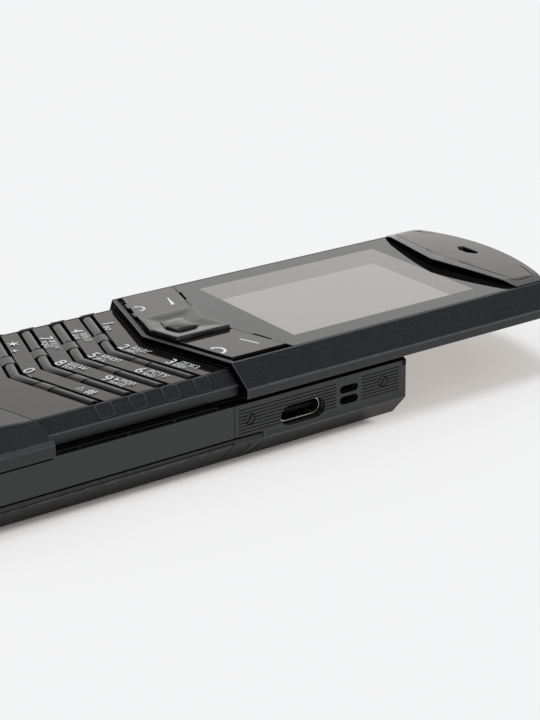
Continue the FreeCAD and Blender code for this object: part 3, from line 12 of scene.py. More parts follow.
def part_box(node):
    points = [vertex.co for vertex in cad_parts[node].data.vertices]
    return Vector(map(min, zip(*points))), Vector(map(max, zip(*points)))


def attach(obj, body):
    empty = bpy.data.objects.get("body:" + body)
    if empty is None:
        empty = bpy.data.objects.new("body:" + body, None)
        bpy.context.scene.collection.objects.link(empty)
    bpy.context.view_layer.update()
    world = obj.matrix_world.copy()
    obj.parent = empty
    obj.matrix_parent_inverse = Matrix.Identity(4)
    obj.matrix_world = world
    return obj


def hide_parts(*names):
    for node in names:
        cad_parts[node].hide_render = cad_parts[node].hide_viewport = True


bl_info = {
    "name": "Slider phone",
    "version": (1, 0, 0),
    "blender": (4, 5, 0),
    "location": "3D View > Sidebar > Slider phone",
    "description": "Finishes, legends and stage for a slider phone",
    "category": "Object",
}

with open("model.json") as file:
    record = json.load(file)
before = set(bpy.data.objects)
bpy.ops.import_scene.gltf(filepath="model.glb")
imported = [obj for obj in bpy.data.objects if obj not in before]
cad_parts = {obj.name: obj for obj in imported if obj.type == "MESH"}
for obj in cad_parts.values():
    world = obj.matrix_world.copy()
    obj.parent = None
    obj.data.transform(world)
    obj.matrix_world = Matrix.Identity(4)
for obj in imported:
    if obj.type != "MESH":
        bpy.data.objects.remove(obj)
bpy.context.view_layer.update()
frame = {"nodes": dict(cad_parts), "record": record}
NODE_BODY = {
    node: body
    for body, nodes in frame["record"]["behaviour"]["bodies"].items()
    for node in nodes
}
NODE_SLOT = {row["node"]: row["material_slot"] for row in frame["record"]["subparts"]}

MM = 0.001
MERGE, DRAWN_MERGE = 2e-6, 1e-4  # nearer points are one: of a CAD copy (m), of a drawn bmesh (mm)
FLAT = math.radians(0.6)        # faces within this angle are one flat face
CHEVRON = 0.27                  # slope of every V-shaped line; its v is its y at x = 0, in mm
CHEVRON_TURN = math.atan(CHEVRON)
PRINT_LIFT = 0.012              # ink above its surface, mm
SOFT = 0.05                     # width of the change between two looks on one face, mm
PAD_RISE = 0.10                 # square pads above the bezel's slopes, mm
WHITE = (0.83, 0.84, 0.85)
# black of painted shade in gaps and recesses
SHADE_BLACK = (0.001, 0.001, 0.001)


def top_of(node):
    """Height of a CAD node's highest point, mm."""
    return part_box(node)[1].z / MM


# ---------------------------------------------------------------- settings


def size_setting(name, text, default, high):
    """A length that a user may change, in millimetres."""
    return FloatProperty(name=name, description=text, default=default, min=0.0, max=high)


def colour_setting(name, text, default):
    """A linear colour that a user may change."""
    return FloatVectorProperty(
        name=name, description=text, default=default, subtype="COLOR", min=0.0, max=1.0
    )


class ShellSettings(bpy.types.PropertyGroup):
    """Sizes and colours of the phone's shells."""

    edge: size_setting("Edge radius", "Rounding of the shells' outer edges (mm)", 0.18, 0.3)
    grain: size_setting("Grain", "Size of the fine grain of the paint (mm)", 0.22, 1.0)
    shell: colour_setting("Shell", "Satin paint of frame, slide and bezel", (0.0125, 0.0135, 0.0145))
    rear: colour_setting("Rear cover", "Matte plastic of the rear cover", (0.0150, 0.0158, 0.0162))
    panel: colour_setting("Side panels", "Matte plastic of the side panels", (0.0240, 0.0252, 0.0262))
    # lighter paint on rounded edges: partly paint rubbed thin, partly a painted highlight
    worn_highlight: colour_setting("Worn edges", "Paint rubbed thin on the edges", (0.105, 0.110, 0.114))


class KeypadSettings(bpy.types.PropertyGroup):
    """Sizes and colours of the keypad."""

    digit: size_setting("Digit height", "Height of the digits (mm)", 2.35, 4.0)
    letter: size_setting("Letter height", "Height of the letter groups (mm)", 1.25, 2.0)
    gloss: colour_setting("Gloss black", "Lacquer of fascia and end cap plate", (0.0085, 0.0072, 0.0062))
    key: colour_setting("Keys", "Lacquer of the key bars", (0.0085, 0.0080, 0.0078))
    ink: colour_setting("Ink", "Printed legends", WHITE)


class DisplaySettings(bpy.types.PropertyGroup):
    """Colours of the glass and the display."""

    border: colour_setting("Border", "Print behind the glass", (0.0060, 0.0058, 0.0064))
    picture: colour_setting("Display", "The display switched off", (0.235, 0.231, 0.228))
    # painted shadow that the glass's black border casts on the display's far and top edges
    margin: colour_setting("Display margin", "Unused edge of the display", (0.050, 0.048, 0.046))


class StageSettings(bpy.types.PropertyGroup):
    """Floor, light and camera."""

    floor: colour_setting("Floor", "Colour of the floor", (0.83, 0.885, 0.935))
    surround: FloatProperty(
        name="Surround", description="Light of the white room", default=0.62, min=0.0, max=2.0
    )
    lamp: FloatProperty(
        name="Soft lamp", description="Strength of the wide lamp", default=1.5, min=0.0, max=10.0
    )
    glow: FloatProperty(
        name="Floor glow", description="Light that the paper gives by itself",
        default=0.46, min=0.0, max=1.0,
    )
    lens: FloatProperty(
        name="Lens", description="Focal length (mm)", default=117.81, min=10.0, max=400.0
    )


# ---------------------------------------------------------------- shader maths


class Wire:
    """An output of a node that can stand in Python sums."""

    def __init__(self, finish, socket):
        self.finish = finish
        self.socket = socket

    def _sum(self, operation, first, second):
        return self.finish.node(
            "ShaderNodeMath", {"operation": operation}, {0: first, 1: second}
        )

    def __add__(self, other):
        return self._sum("ADD", self, other)

    __radd__ = __add__

    def __sub__(self, other):
        return self._sum("SUBTRACT", self, other)

    def __rsub__(self, other):
        return self._sum("SUBTRACT", other, self)

    def __mul__(self, other):
        return self._sum("MULTIPLY", self, other)

    __rmul__ = __mul__

    def above(self, other):
        """The greater of the two."""
        return self._sum("MAXIMUM", self, other)

    def __abs__(self):
        return self._sum("ABSOLUTE", self, 0.0)


class Nodes:
    """A node tree, filled through one method."""

    def __init__(self, owner):
        owner.use_nodes = True
        self.tree = owner.node_tree
        self.tree.nodes.clear()

    def node(self, kind, settings=None, inputs=None, output=0):
        """Adds a node: first its settings, then the values or wires of its sockets."""
        made = self.tree.nodes.new(kind)
        for key, value in (settings or {}).items():
            setattr(made, key, value)
        for key, value in (inputs or {}).items():
            if isinstance(value, Wire):
                self.tree.links.new(value.socket, made.inputs[key])
            else:
                made.inputs[key].default_value = value
        return Wire(self, made.outputs[output] if made.outputs else None)

    def ramp(self, wire, low, high):
        """0 below low, 1 above high, smooth between; low may be above high."""
        return self.node(
            "ShaderNodeMapRange",
            {"interpolation_type": "SMOOTHSTEP"},
            {"Value": wire, "From Min": low, "From Max": high},
        )

    def blend(self, mask, first, second):
        """first where mask is 0, second where it is 1; both colours."""
        first, second = (
            c if isinstance(c, Wire) else (*c, 1.0) for c in (first, second)
        )
        return self.node(
            "ShaderNodeMix", {"data_type": "RGBA"}, {0: mask, 6: first, 7: second}, output=2
        )


class Finish(Nodes):
    """One material, made of nodes round a Principled shader."""

    def __init__(self, name, **plain):
        self.name = name
        self.material = bpy.data.materials.new(name)
        super().__init__(self.material)
        shader = self.node("ShaderNodeBsdfPrincipled")
        self.output = self.tree.nodes.new("ShaderNodeOutputMaterial")
        self.tree.links.new(shader.socket, self.output.inputs["Surface"])
        self.shader = shader.socket.node
        for socket, value in plain.items():
            self.shader.inputs[socket.replace("_", " ")].default_value = value
        self.place = self._axes = None

    def feed(self, socket, wire):
        """Joins a wire to a socket of the shader."""
        self.tree.links.new(wire.socket, self.shader.inputs[socket])

    def axes(self):
        """x, y and z on the piece, in millimetres."""
        if self._axes is None:
            self.place = self.node("ShaderNodeTexCoord", output="Object")
            split = self.node("ShaderNodeSeparateXYZ", inputs={0: self.place}).socket.node
            self._axes = tuple(Wire(self, split.outputs[i]) * 1000.0 for i in range(3))
        return self._axes

    def noise(self, size, detail=2.0, stretch=(1.0, 1.0, 1.0)):
        """Even noise, 0 to 1, with features of a size in millimetres."""
        self.axes()
        place = self.node(
            "ShaderNodeMapping", inputs={"Vector": self.place, "Scale": stretch}
        )
        return self.node(
            "ShaderNodeTexNoise",
            inputs={"Vector": place, "Scale": 1.0 / (size * MM), "Detail": detail},
        )

    def specks(self, spacing, size):
        """A few dust specks: 1 on a speck, spaced and sized in millimetres."""
        self.axes()
        cell = self.node(
            "ShaderNodeTexVoronoi",
            inputs={"Vector": self.place, "Scale": 1.0 / (spacing * MM)},
            output="Distance",
        )
        chance = self.ramp(self.noise(spacing * 2.3, 0.0), 0.60, 0.62)
        return self.ramp(cell, size / spacing, 0.4 * size / spacing) * chance

    def worn_highlight(self):
        """1 on rounded edges, 0 elsewhere."""
        return self.node("ShaderNodeAttribute", {"attribute_name": "worn_highlight"}, output="Fac")

    def bump(self, height, depth):
        """Feeds the shader's normal; height times depth (mm) is the relief."""
        inputs = {"Strength": 1.0, "Distance": depth * MM, "Height": height}
        self.feed("Normal", self.node("ShaderNodeBump", inputs=inputs))


def satin(
    name, colour, rough, grain, relief, worn_highlight, rub=0.4, ridge=None, contrast=0.4, deep=0.0, **plain
):
    """Painted or moulded black: fine grain, cloudy sheen, and edges painted lighter, partly as wear and
    partly as a painted highlight.

    Nearer the middle than deep (mm, across) it is painted the black of the shade in a recess.
    """
    finish = Finish(name, **plain)
    fine, cloud = finish.noise(grain, 3.0), finish.noise(9.0, 3.0)
    # edge: rounded edges painted lighter, rub its share: partly wear, partly painted highlight
    edge = finish.worn_highlight() * finish.ramp(finish.noise(2.6, 1.0), -0.4, 0.8) * rub
    fleck = finish.ramp(fine, 0.38, 0.66)
    shade = finish.blend(
        fleck, [c * (1.0 - 0.7 * contrast) for c in colour], [c * (1.0 + contrast) for c in colour]
    )
    shade = finish.blend(edge, shade, worn_highlight)
    if ridge:
        # line: painted highlight on the pads' rims; groove: painted shade round them
        line, groove, height = ridge(finish)
        shade = finish.blend(groove, finish.blend(line, shade, worn_highlight), SHADE_BLACK)
        finish.bump(fine + height * (PAD_RISE / relief), relief)
    else:
        finish.bump(fine, relief)
    if deep:
        # painted shade: faces nearer the middle than deep, inside recesses, painted black
        x = finish.axes()[0]
        shade = finish.blend(finish.ramp(abs(x), deep, deep - SOFT), shade, SHADE_BLACK)
    finish.feed("Base Color", shade)
    finish.feed(
        "Roughness", rough + 0.10 * (cloud - 0.5) + 0.16 * (fine - 0.5) - 0.08 * edge
    )
    return finish


def pad_outline(finish):
    """Painted highlight on the rims, painted shade round them, and relief of the four square pads on each
    slope of the bezel.

    Gives three masks: the painted highlight on the rim, brighter higher up the slope, the painted shade
    round it and the raised pad.
    """
    _, y, z = finish.axes()
    middle, pitch, first, last = 4.29, 6.19, 6.3, -17.4    # along the bezel
    centre, foot, steep = 14.53, 13.12, 1.368              # up the slope, and its length per rise
    half_y, half_s, corner, fade = 1.55, 1.40, 0.6, 0.1
    across = abs(
        finish.node("ShaderNodeMath", {"operation": "WRAP"}, {0: y - middle, 1: pitch / 2, 2: -pitch / 2})
    )
    down = abs((z - centre) * steep)
    a, b = (across - (half_y - corner)).above(0.0), (down - (half_s - corner)).above(0.0)
    away = finish.node("ShaderNodeMath", {"operation": "SQRT"}, {0: a * a + b * b}) - corner
    here = finish.ramp(y, last, last + fade) * finish.ramp(y, first, first - fade)
    here *= finish.ramp(z, foot, foot + fade)
    # painted highlight on the rims, stronger higher up the slope; painted shade round the rims
    lit = 0.35 + 0.65 * finish.ramp(z + 0.35 * finish.noise(2.0), 13.9, 15.0)
    line = finish.ramp(abs(away + 0.05), 0.13, 0.03) * here * lit * 0.6
    seam = finish.ramp(abs(away - 0.16), 0.14, 0.05) * here * 0.7
    return line, seam, finish.ramp(away, 0.10, -0.12) * here


def lacquer(name, colour, rough, dust=0.12, edge_highlight_share=0.0, **plain):
    """Glossy black lacquer: long low waves, faint rub marks, a little dust, and rounded edges painted
    lighter, partly as wear and partly as a painted highlight.
    """
    finish = Finish(name, **plain)
    wave = finish.noise(14.0, 1.0)
    rub = finish.noise(0.35, 3.0, (1.0, 0.25, 1.0))
    speck = finish.specks(3.1, 0.07)
    shade = finish.blend(wave, [c * 0.85 for c in colour], [c * 1.2 for c in colour])
    # rounded edges painted lighter: partly wear, partly painted highlight
    shade = finish.blend(finish.worn_highlight() * edge_highlight_share, shade, (0.10, 0.10, 0.105))
    finish.feed("Base Color", finish.blend(speck * dust, shade, (0.55, 0.55, 0.53)))
    finish.feed("Roughness", rough + 0.05 * (rub - 0.5) + 0.04 * (wave - 0.5) + 0.3 * speck)
    finish.bump(wave + 0.02 * rub, 0.02)
    return finish


def metal(name, colour, rough, grain=(0.06, 1.2, 1.0)):
    """Brushed or rolled metal, its grain drawn along one way."""
    finish = Finish(name, Metallic=1.0)
    brush = finish.noise(0.5, 4.0, grain)
    cloud = finish.noise(6.0, 2.0)
    finish.feed(
        "Base Color", finish.blend(brush, [c * 0.82 for c in colour], [min(1.0, c * 1.12) for c in colour])
    )
    finish.feed("Roughness", rough + 0.16 * (brush - 0.5) + 0.08 * (cloud - 0.5))
    finish.bump(brush, 0.004)
    return finish


def circuit_finish():
    """Green solder mask with paler copper runs under it."""
    finish = Finish("circuit", Specular_IOR_Level=0.5)
    finish.axes()
    runs = finish.node(
        "ShaderNodeTexBrick",
        inputs={
            "Vector": finish.place,
            "Scale": 420.0,
            "Mortar Size": 0.03,
            "Color1": (0, 0, 0, 1),
            "Color2": (0, 0, 0, 1),
            "Mortar": (1, 1, 1, 1),
        },
        output="Fac",
    )
    cloud = finish.noise(5.0)
    base = finish.blend(cloud, (0.006, 0.045, 0.022), (0.010, 0.065, 0.030))
    finish.feed("Base Color", finish.blend(runs * 0.6, base, (0.05, 0.16, 0.07)))
    finish.feed("Roughness", 0.32 + 0.1 * cloud)
    finish.bump(runs, 0.03)
    return finish


def glass_finish(settings):
    """Cover glass: black print at the back, and the switched-off display behind it, with a painted shadow
    of the border along the display's far and top edges.
    """
    finish = Finish(
        "glass_black", Coat_IOR=1.78, Coat_Weight=1.0, Coat_Roughness=0.015, Specular_IOR_Level=0.0
    )
    x, y, z = finish.axes()
    half, low, high = 15.4, 26.1, 67.0            # window: half its width, and its ends
    shadow_width_x, shadow_width_y, blur = 7.4, 5.4, 0.4      # widths of the painted shadow of the border on the display's far and top edges
    face = top_of("cover_glass") - 0.12           # below it are the glass's sides
    shown = (
        finish.ramp(abs(x), half, half - SOFT)
        * finish.ramp(y, low, low + SOFT)
        * finish.ramp(y, high, high - SOFT)
        * finish.ramp(z, face, face + 0.02)
    )
    left, far = shadow_width_x - half, high - shadow_width_y
    # inner: the lighter display; outside it, along the far and top edges, painted shadow
    inner = finish.ramp(x, left, left + blur) * finish.ramp(y, far, far - 0.3)
    cloud = finish.noise(11.0, 1.0)
    panel = finish.blend(inner, settings.margin, settings.picture)
    panel = finish.blend(0.25 * cloud, panel, [c * 0.8 for c in settings.picture])
    speck = finish.specks(4.3, 0.09)
    panel = finish.blend(speck * 0.35, panel, (0.05, 0.05, 0.05))
    border = finish.blend(speck * 0.15, settings.border, (0.5, 0.5, 0.5))
    finish.feed("Base Color", finish.blend(shown, border, panel))
    finish.feed("Metallic", shown)
    finish.feed("Roughness", 0.04 + 0.02 * cloud + 0.05 * shown + 0.3 * speck)
    return finish


def rear_finish(settings):
    """Rear cover: matte plastic with fine and coarse grain."""
    finish = Finish("rear_shell", Specular_IOR_Level=0.42)
    fine, coarse = finish.noise(settings.grain, 3.0), finish.noise(0.55, 2.0)
    # rounded edges painted lighter: partly wear, partly painted highlight
    edge = finish.worn_highlight() * finish.ramp(finish.noise(1.7, 3.0), 0.30, 0.62) * 0.4
    shade = finish.blend(fine, [c * 0.75 for c in settings.rear], [c * 1.25 for c in settings.rear])
    shade = finish.blend(edge, shade, settings.worn_highlight)
    finish.feed("Base Color", shade)
    finish.feed("Roughness", 0.50 + 0.14 * (fine - 0.5) + 0.10 * (coarse - 0.5))
    finish.bump(0.6 * fine + 0.4 * coarse, 0.022)
    return finish


def rubber_finish():
    """Soft black rubber."""
    finish = Finish("rubber", Specular_IOR_Level=0.3)
    fine = finish.noise(0.12, 2.0)
    finish.feed("Base Color", finish.blend(fine, (0.012, 0.012, 0.012), (0.022, 0.022, 0.022)))
    finish.feed("Roughness", 0.70 + 0.15 * fine)
    finish.bump(fine, 0.01)
    return finish


def film_finish(name, dark, pale, rough, size):
    """Printed or wrapped film with a little unevenness."""
    finish = Finish(name)
    cloud = finish.noise(size, 2.0)
    finish.feed("Base Color", finish.blend(cloud, dark, pale))
    finish.feed("Roughness", rough + 0.12 * (cloud - 0.5))
    finish.bump(cloud, 0.01)
    return finish


def ink_finish(settings):
    """Printed ink, thin in places."""
    finish = Finish("legend_ink", Specular_IOR_Level=0.4)
    thin = finish.noise(0.10, 2.0)
    finish.feed("Base Color", finish.blend(thin, [c * 0.82 for c in settings.ink], settings.ink))
    finish.feed("Roughness", 0.42 + 0.2 * thin)
    finish.bump(thin, 0.003)
    return finish


def make_finishes(scene):
    """Every finish by its name: a material slot's, or one that SPECIAL or a piece names."""
    shell, keypad, display = scene.phone_shell, scene.phone_keypad, scene.phone_display
    grain, worn_highlight = shell.grain, shell.worn_highlight
    dull, matte, painted = ({"Specular_IOR_Level": level} for level in (0.02, 0.15, 0.45))
    made = (
        satin("satin_black_shell", shell.shell, 0.40, grain, 0.012, worn_highlight, 0.75, contrast=0.8, **painted),
        satin("bezel", shell.shell, 0.38, grain, 0.012, worn_highlight, 0.75, pad_outline, 0.8, **painted),
        rear_finish(shell),
        # deep: the faces inside the panels' slots painted the black of shade
        satin(
            "panel_black", shell.panel, 0.46, grain, 0.003, worn_highlight, 0.3,
            contrast=0.08, deep=22.86, **painted,
        ),
        satin("inner_black", (0.003, 0.003, 0.003), 0.55, 0.3, 0.008, (0.006, 0.006, 0.006), **matte),
        lacquer("gloss_fascia", keypad.gloss, 0.09, edge_highlight_share=0.9, IOR=1.50),
        lacquer("cap_gloss", keypad.gloss, 0.09, edge_highlight_share=0.9, IOR=1.86),
        lacquer("key_gloss", keypad.key, 0.13, 0.08, IOR=1.6),
        lacquer("pad_gloss", (0.004, 0.004, 0.004), 0.09, 0.08, IOR=1.98),
        glass_finish(display),
        film_finish("display", display.margin, display.picture, 0.25, 8.0),
        metal("steel", (0.50, 0.50, 0.49), 0.34),
        # very dark: the rails' own black, deepened as painted shade of the gap under the bezel
        satin(
            "rail_black", (0.002, 0.002, 0.002), 0.5, 0.2, 0.004, (0.006, 0.006, 0.006),
            Specular_IOR_Level=0.1,
        ),
        # deep: the screws' faces below the panel's face painted the black of shade in their recess
        satin(
            "screw_black", (0.020, 0.020, 0.021), 0.4, 0.2, 0.006, worn_highlight, 0.8, deep=22.80, Metallic=0.4
        ),
        metal("usb_steel", (0.80, 0.72, 0.62), 0.24),
        circuit_finish(),
        satin(
            "black_board", (0.004, 0.004, 0.004), 0.6, 0.3, 0.004, (0.01, 0.01, 0.01),
            Specular_IOR_Level=0.2,
        ),
        film_finish("battery_wrap", (0.030, 0.032, 0.036), (0.042, 0.044, 0.050), 0.38, 4.0),
        rubber_finish(),
        lacquer("camera_glass", (0.004, 0.004, 0.005), 0.03, 0.05, Coat_Weight=1.0),
        metal("magnet", (0.62, 0.61, 0.60), 0.28, (1.0, 1.0, 1.0)),
        film_finish("flex", (0.20, 0.10, 0.025), (0.28, 0.14, 0.035), 0.35, 2.0),
        metal("copper", (0.78, 0.52, 0.28), 0.28),
        ink_finish(keypad),
        # black of painted shade: in gaps, in the screws' recesses and on faces turned to the keypad's end
        satin("seam", (0.0015, 0.0015, 0.0015), 0.8, 0.3, 0.004, (0.002, 0.002, 0.002), **dull),
    )
    return {finish.name: finish.material for finish in made}


FINISHES = {}                   # filled by the first operator
SPECIAL = {                     # node: finish, when not its slot's
    "control_board": "black_board",
    "keypad_bezel": "bezel",
    "earpiece_cap": "cap_gloss",
    "rocker_left": "cap_gloss",
    "rocker_right": "cap_gloss",
}


# ---------------------------------------------------------------- pieces


def stand(name, shape, material, body, node=None, sharp=32.0):
    """Makes a piece of a bmesh, which is freed, and lets it ride on its body."""
    mesh = bpy.data.meshes.new(name)
    shape.to_mesh(mesh)
    shape.free()
    if not mesh.polygons:
        raise RuntimeError(f"{name} came out empty")
    mesh.shade_smooth()
    mesh.set_sharp_from_angle(angle=math.radians(sharp))
    mesh.materials.append(material)
    piece = bpy.data.objects.new(name, mesh)
    bpy.context.scene.collection.objects.link(piece)
    flat = piece.modifiers.new("Flat faces stay flat", "WEIGHTED_NORMAL")
    flat.keep_sharp = True
    if node:
        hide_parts(node)
    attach(piece, body)
    return piece


def merged(node):
    """A bmesh copy of a CAD node, its triangles joined into flat faces."""
    shape = bmesh.new()
    shape.from_mesh(frame["nodes"][node].data)
    bmesh.ops.remove_doubles(shape, verts=shape.verts, dist=MERGE)
    bmesh.ops.dissolve_limit(
        shape, angle_limit=FLAT, use_dissolve_boundaries=False, verts=shape.verts, edges=shape.edges
    )
    return shape


def shoulder(edge):
    """True for a long lengthwise edge high on the phone's outer flank."""
    long, flank, low, high = 10.0 * MM, 20.9 * MM, 12.5 * MM, 13.5 * MM
    a, b = (v.co for v in edge.verts)
    return (
        abs(a.y - b.y) > long
        and min(abs(a.x), abs(b.x)) > flank
        and low < min(a.z, b.z) < high
    )


def in_groove(face, depth):
    """True for an upright face no taller than depth, in millimetres."""
    heights = [v.co.z for v in face.verts]
    return abs(face.normal.z) < 0.5 and max(heights) - min(heights) < depth * MM


def rounded(shape, edges, radius, segments):
    """Bevels edges of a bmesh and gives the new faces."""
    made = bmesh.ops.bevel(
        shape, geom=edges, offset=radius, segments=segments, profile=0.5, affect="EDGES",
        clamp_overlap=False, material=-1,
    )
    return made["faces"]


def cut(shape, axis, at):
    """Divides the faces of a bmesh along a plane square to an axis (0 is x)."""
    place, normal = [0.0, 0.0, 0.0], [0.0, 0.0, 0.0]
    place[axis], normal[axis] = at, 1.0
    everything = [*shape.verts, *shape.edges, *shape.faces]
    bmesh.ops.bisect_plane(shape, geom=everything, plane_co=place, plane_no=normal)


def eased(node, radius, angle=25.0, segments=2, broad=0.0, wear_highlight=(1.0, 1.0), groove=0.0):
    """Stands for a CAD node: the same form, its outer edges rounded (radius in mm).

    Shoulder edges get the broad radius, where there is one. The two wear values say how much lighter
    the paint is on shoulders and on the other edges: partly wear, partly a painted highlight. Only edges
    turned by more than the angle (degrees) are rounded, and those of grooves no deeper than groove (mm)
    stay sharp.
    """
    shape = merged(node)
    worn_highlight = shape.faces.layers.float.new("worn_highlight")
    rounds = [(radius, segments, wear_highlight[1], lambda edge: True)]
    if broad:
        rounds.insert(0, (broad, 4, wear_highlight[0], shoulder))
    for size, steps, rub_highlight, chosen in rounds:
        edges = [
            e
            for e in shape.edges
            if e.is_manifold
            and e.is_convex
            and e.calc_face_angle(0.0) > math.radians(angle)
            and chosen(e)
            and not any(f[worn_highlight] or in_groove(f, groove) for f in e.link_faces)
        ]
        for face in rounded(shape, edges, size * MM, steps):
            face[worn_highlight] = rub_highlight
    slot = NODE_SLOT[node]
    finish = FINISHES[SPECIAL.get(node, slot)]
    return stand(f"{node}_eased", shape, finish, NODE_BODY[node], node)


def flat_print(name, shape, node, at, turn=0.0):
    """Ink on the top of a CAD node: a flat bmesh in mm, turned, then set at (x, y)."""
    if not shape.faces:
        raise RuntimeError(f"{name} has no face")
    bmesh.ops.recalc_face_normals(shape, faces=shape.faces)
    if shape.faces[0].normal.z < 0:
        bmesh.ops.reverse_faces(shape, faces=shape.faces)
    place = (
        Matrix.Translation(Vector((at[0], at[1], top_of(node) + PRINT_LIFT)) * MM)
        @ Matrix.Rotation(turn, 4, "Z")
        @ Matrix.Scale(MM, 4)
    )
    bmesh.ops.transform(shape, matrix=place, verts=shape.verts)
    return stand(name, shape, FINISHES["legend_ink"], NODE_BODY[node])


CAPITAL = 0.70          # height of a capital, of the type's size
THINNER = 0.010         # taken off each side of a stroke, of its height
LETTER_PITCH = 0.86     # from letter to letter, of their height


def letters(words):
    """A flat bmesh of text lines: (text, height, x, y) each, in mm, y at mid height.

    Groups of more than two letters are drawn to an even pitch.
    """
    shape = bmesh.new()
    for text, height, x, y in words:
        curve = bpy.data.curves.new("letters", "FONT")
        curve.body = text
        curve.size = height / CAPITAL
        curve.offset = -THINNER * height
        curve.align_x, curve.align_y = "LEFT", "TOP_BASELINE"
        curve.resolution_u = 3
        holder = bpy.data.objects.new("letters", curve)
        bpy.context.scene.collection.objects.link(holder)
        bpy.context.view_layer.update()
        mesh = bpy.data.meshes.new_from_object(
            holder.evaluated_get(bpy.context.evaluated_depsgraph_get())
        )
        bpy.data.objects.remove(holder)
        if len(text) > 2:
            wide = LETTER_PITCH * height * len(text) / max(v.co.x for v in mesh.vertices)
            mesh.transform(Matrix.Diagonal((wide, 1.0, 1.0, 1.0)))
        mesh.transform(Matrix.Translation((x, y - 0.5 * height, 0.0)))
        shape.from_mesh(mesh)
    return shape


FLANK_X = 22.96                         # side wall of the base
FLANK_FOOT, FLANK_SLOPE = 3.2, 0.625    # where it turns inward, and x per z there
SHADE_STRIP_LIFT = 0.02                        # of the painted shade strips above the flank
SCREW_INSETS = (3.07, 4.2)              # screws from the ribbed panel's ends
SCREW_Z, SCREW_FACE = 7.4, 22.875       # height and face of a screw
SCREW_RING = (0.90, 1.05)               # inner and outer radius
GAP_SHADE_STRIPS = (
    # width and points (y, z) of the strips of painted shade in the gaps round latch, rear cover and end
    # cap, mm
    (0.32, ((-44.9, 4.40), (8.4, 4.50), (13.95, 4.38))),
    (0.13, ((13.95, 4.30), (14.24, 3.76), (14.05, 2.50), (13.40, 1.15), (11.90, 0.20))),
    (0.12, ((-44.9, 3.32), (8.28, 3.80), (6.60, 0.80))),
    (0.10, ((10.9, 3.30), (11.75, 2.60), (11.20, 1.50), (9.90, 0.30))),
    (0.42, ((-44.9, 10.16), (-25.7, 10.18))),
)


def seams(name, body):
    """Thin black strips along both long sides of the base: painted shade in the gaps."""
    shape = bmesh.new()
    for side in (-1, 1):
        for width, points in GAP_SHADE_STRIPS:
            for start, end in zip(points, points[1:]):
                strip = bmesh.new()
                bmesh.ops.create_grid(strip, x_segments=6, y_segments=1, size=0.5)
                run = Vector(end) - Vector(start)
                across = Vector((-run.y, run.x)).normalized() * width
                reach = 1.0 + 0.5 * width / run.length
                for vert in strip.verts:
                    spot = (Vector(start) + Vector(end)) / 2
                    spot += run * vert.co.x * reach + across * vert.co.y
                    x = FLANK_X + SHADE_STRIP_LIFT - FLANK_SLOPE * max(0.0, FLANK_FOOT - spot.y)
                    vert.co = Vector((side * x, spot.x, spot.y)) * MM
                bmesh.ops.recalc_face_normals(strip, faces=strip.faces)
                if side * sum(f.normal.x for f in strip.faces) < 0:
                    bmesh.ops.reverse_faces(strip, faces=strip.faces)
                mesh = bpy.data.meshes.new("strip")
                strip.to_mesh(mesh)
                strip.free()
                shape.from_mesh(mesh)
                bpy.data.meshes.remove(mesh)
    return stand(name, shape, FINISHES["seam"], body)


def screw_recess_shade():
    """Black rings of painted shade in the recess round each side screw's head."""
    low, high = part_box("ribbed_panel_right")
    start, end = low.y / MM, high.y / MM
    shape = bmesh.new()
    for side in (-1, 1):
        for y in (start + SCREW_INSETS[0], end - SCREW_INSETS[1]):
            turn = Matrix.Translation((side * SCREW_FACE, y, SCREW_Z)) @ Matrix.Rotation(
                side * math.pi / 2, 4, "Y"
            )
            rims = []
            for radius in SCREW_RING:
                made = bmesh.ops.create_circle(shape, segments=32, radius=radius, matrix=turn)
                rims += {e for v in made["verts"] for e in v.link_edges}
            bmesh.ops.bridge_loops(shape, edges=rims)
    for face in shape.faces:
        if face.normal.x * face.calc_center_median().x < 0:
            face.normal_flip()
    bmesh.ops.scale(shape, vec=(MM, MM, MM), verts=shape.verts)
    return stand("screw_recess_shade", shape, FINISHES["seam"], NODE_BODY["side_screws"])


def paint_front_shade(piece):
    """Gives the upright faces that look to the keypad's end the black of painted shade, as in the gaps."""
    piece.data.materials.append(FINISHES["seam"])
    for face in piece.data.polygons:
        if face.normal.y < -0.5 and abs(face.normal.z) < 0.3:
            face.material_index = 1


def lean(shape):
    """Shears a bmesh drawn over x and v, in mm, so that its lines across become V-shaped."""
    for vert in shape.verts:
        vert.co.y += CHEVRON * abs(vert.co.x)


def in_metres(shape):
    """Turns a bmesh drawn in millimetres into metres, its faces outward."""
    bmesh.ops.remove_doubles(shape, verts=shape.verts, dist=DRAWN_MERGE)
    bmesh.ops.recalc_face_normals(shape, faces=shape.faces)
    bmesh.ops.scale(shape, vec=(MM, MM, MM), verts=shape.verts)


KEY_FRONT, KEY_BACK = 0.50, 2.72        # key bar from its slot's front edge
KEY_FOOT = 14.62                        # clears the bezel when the key is pressed
KEY_ROUND, KEY_END_ROUND = 0.95, 0.22   # radii along the bar and at its ends


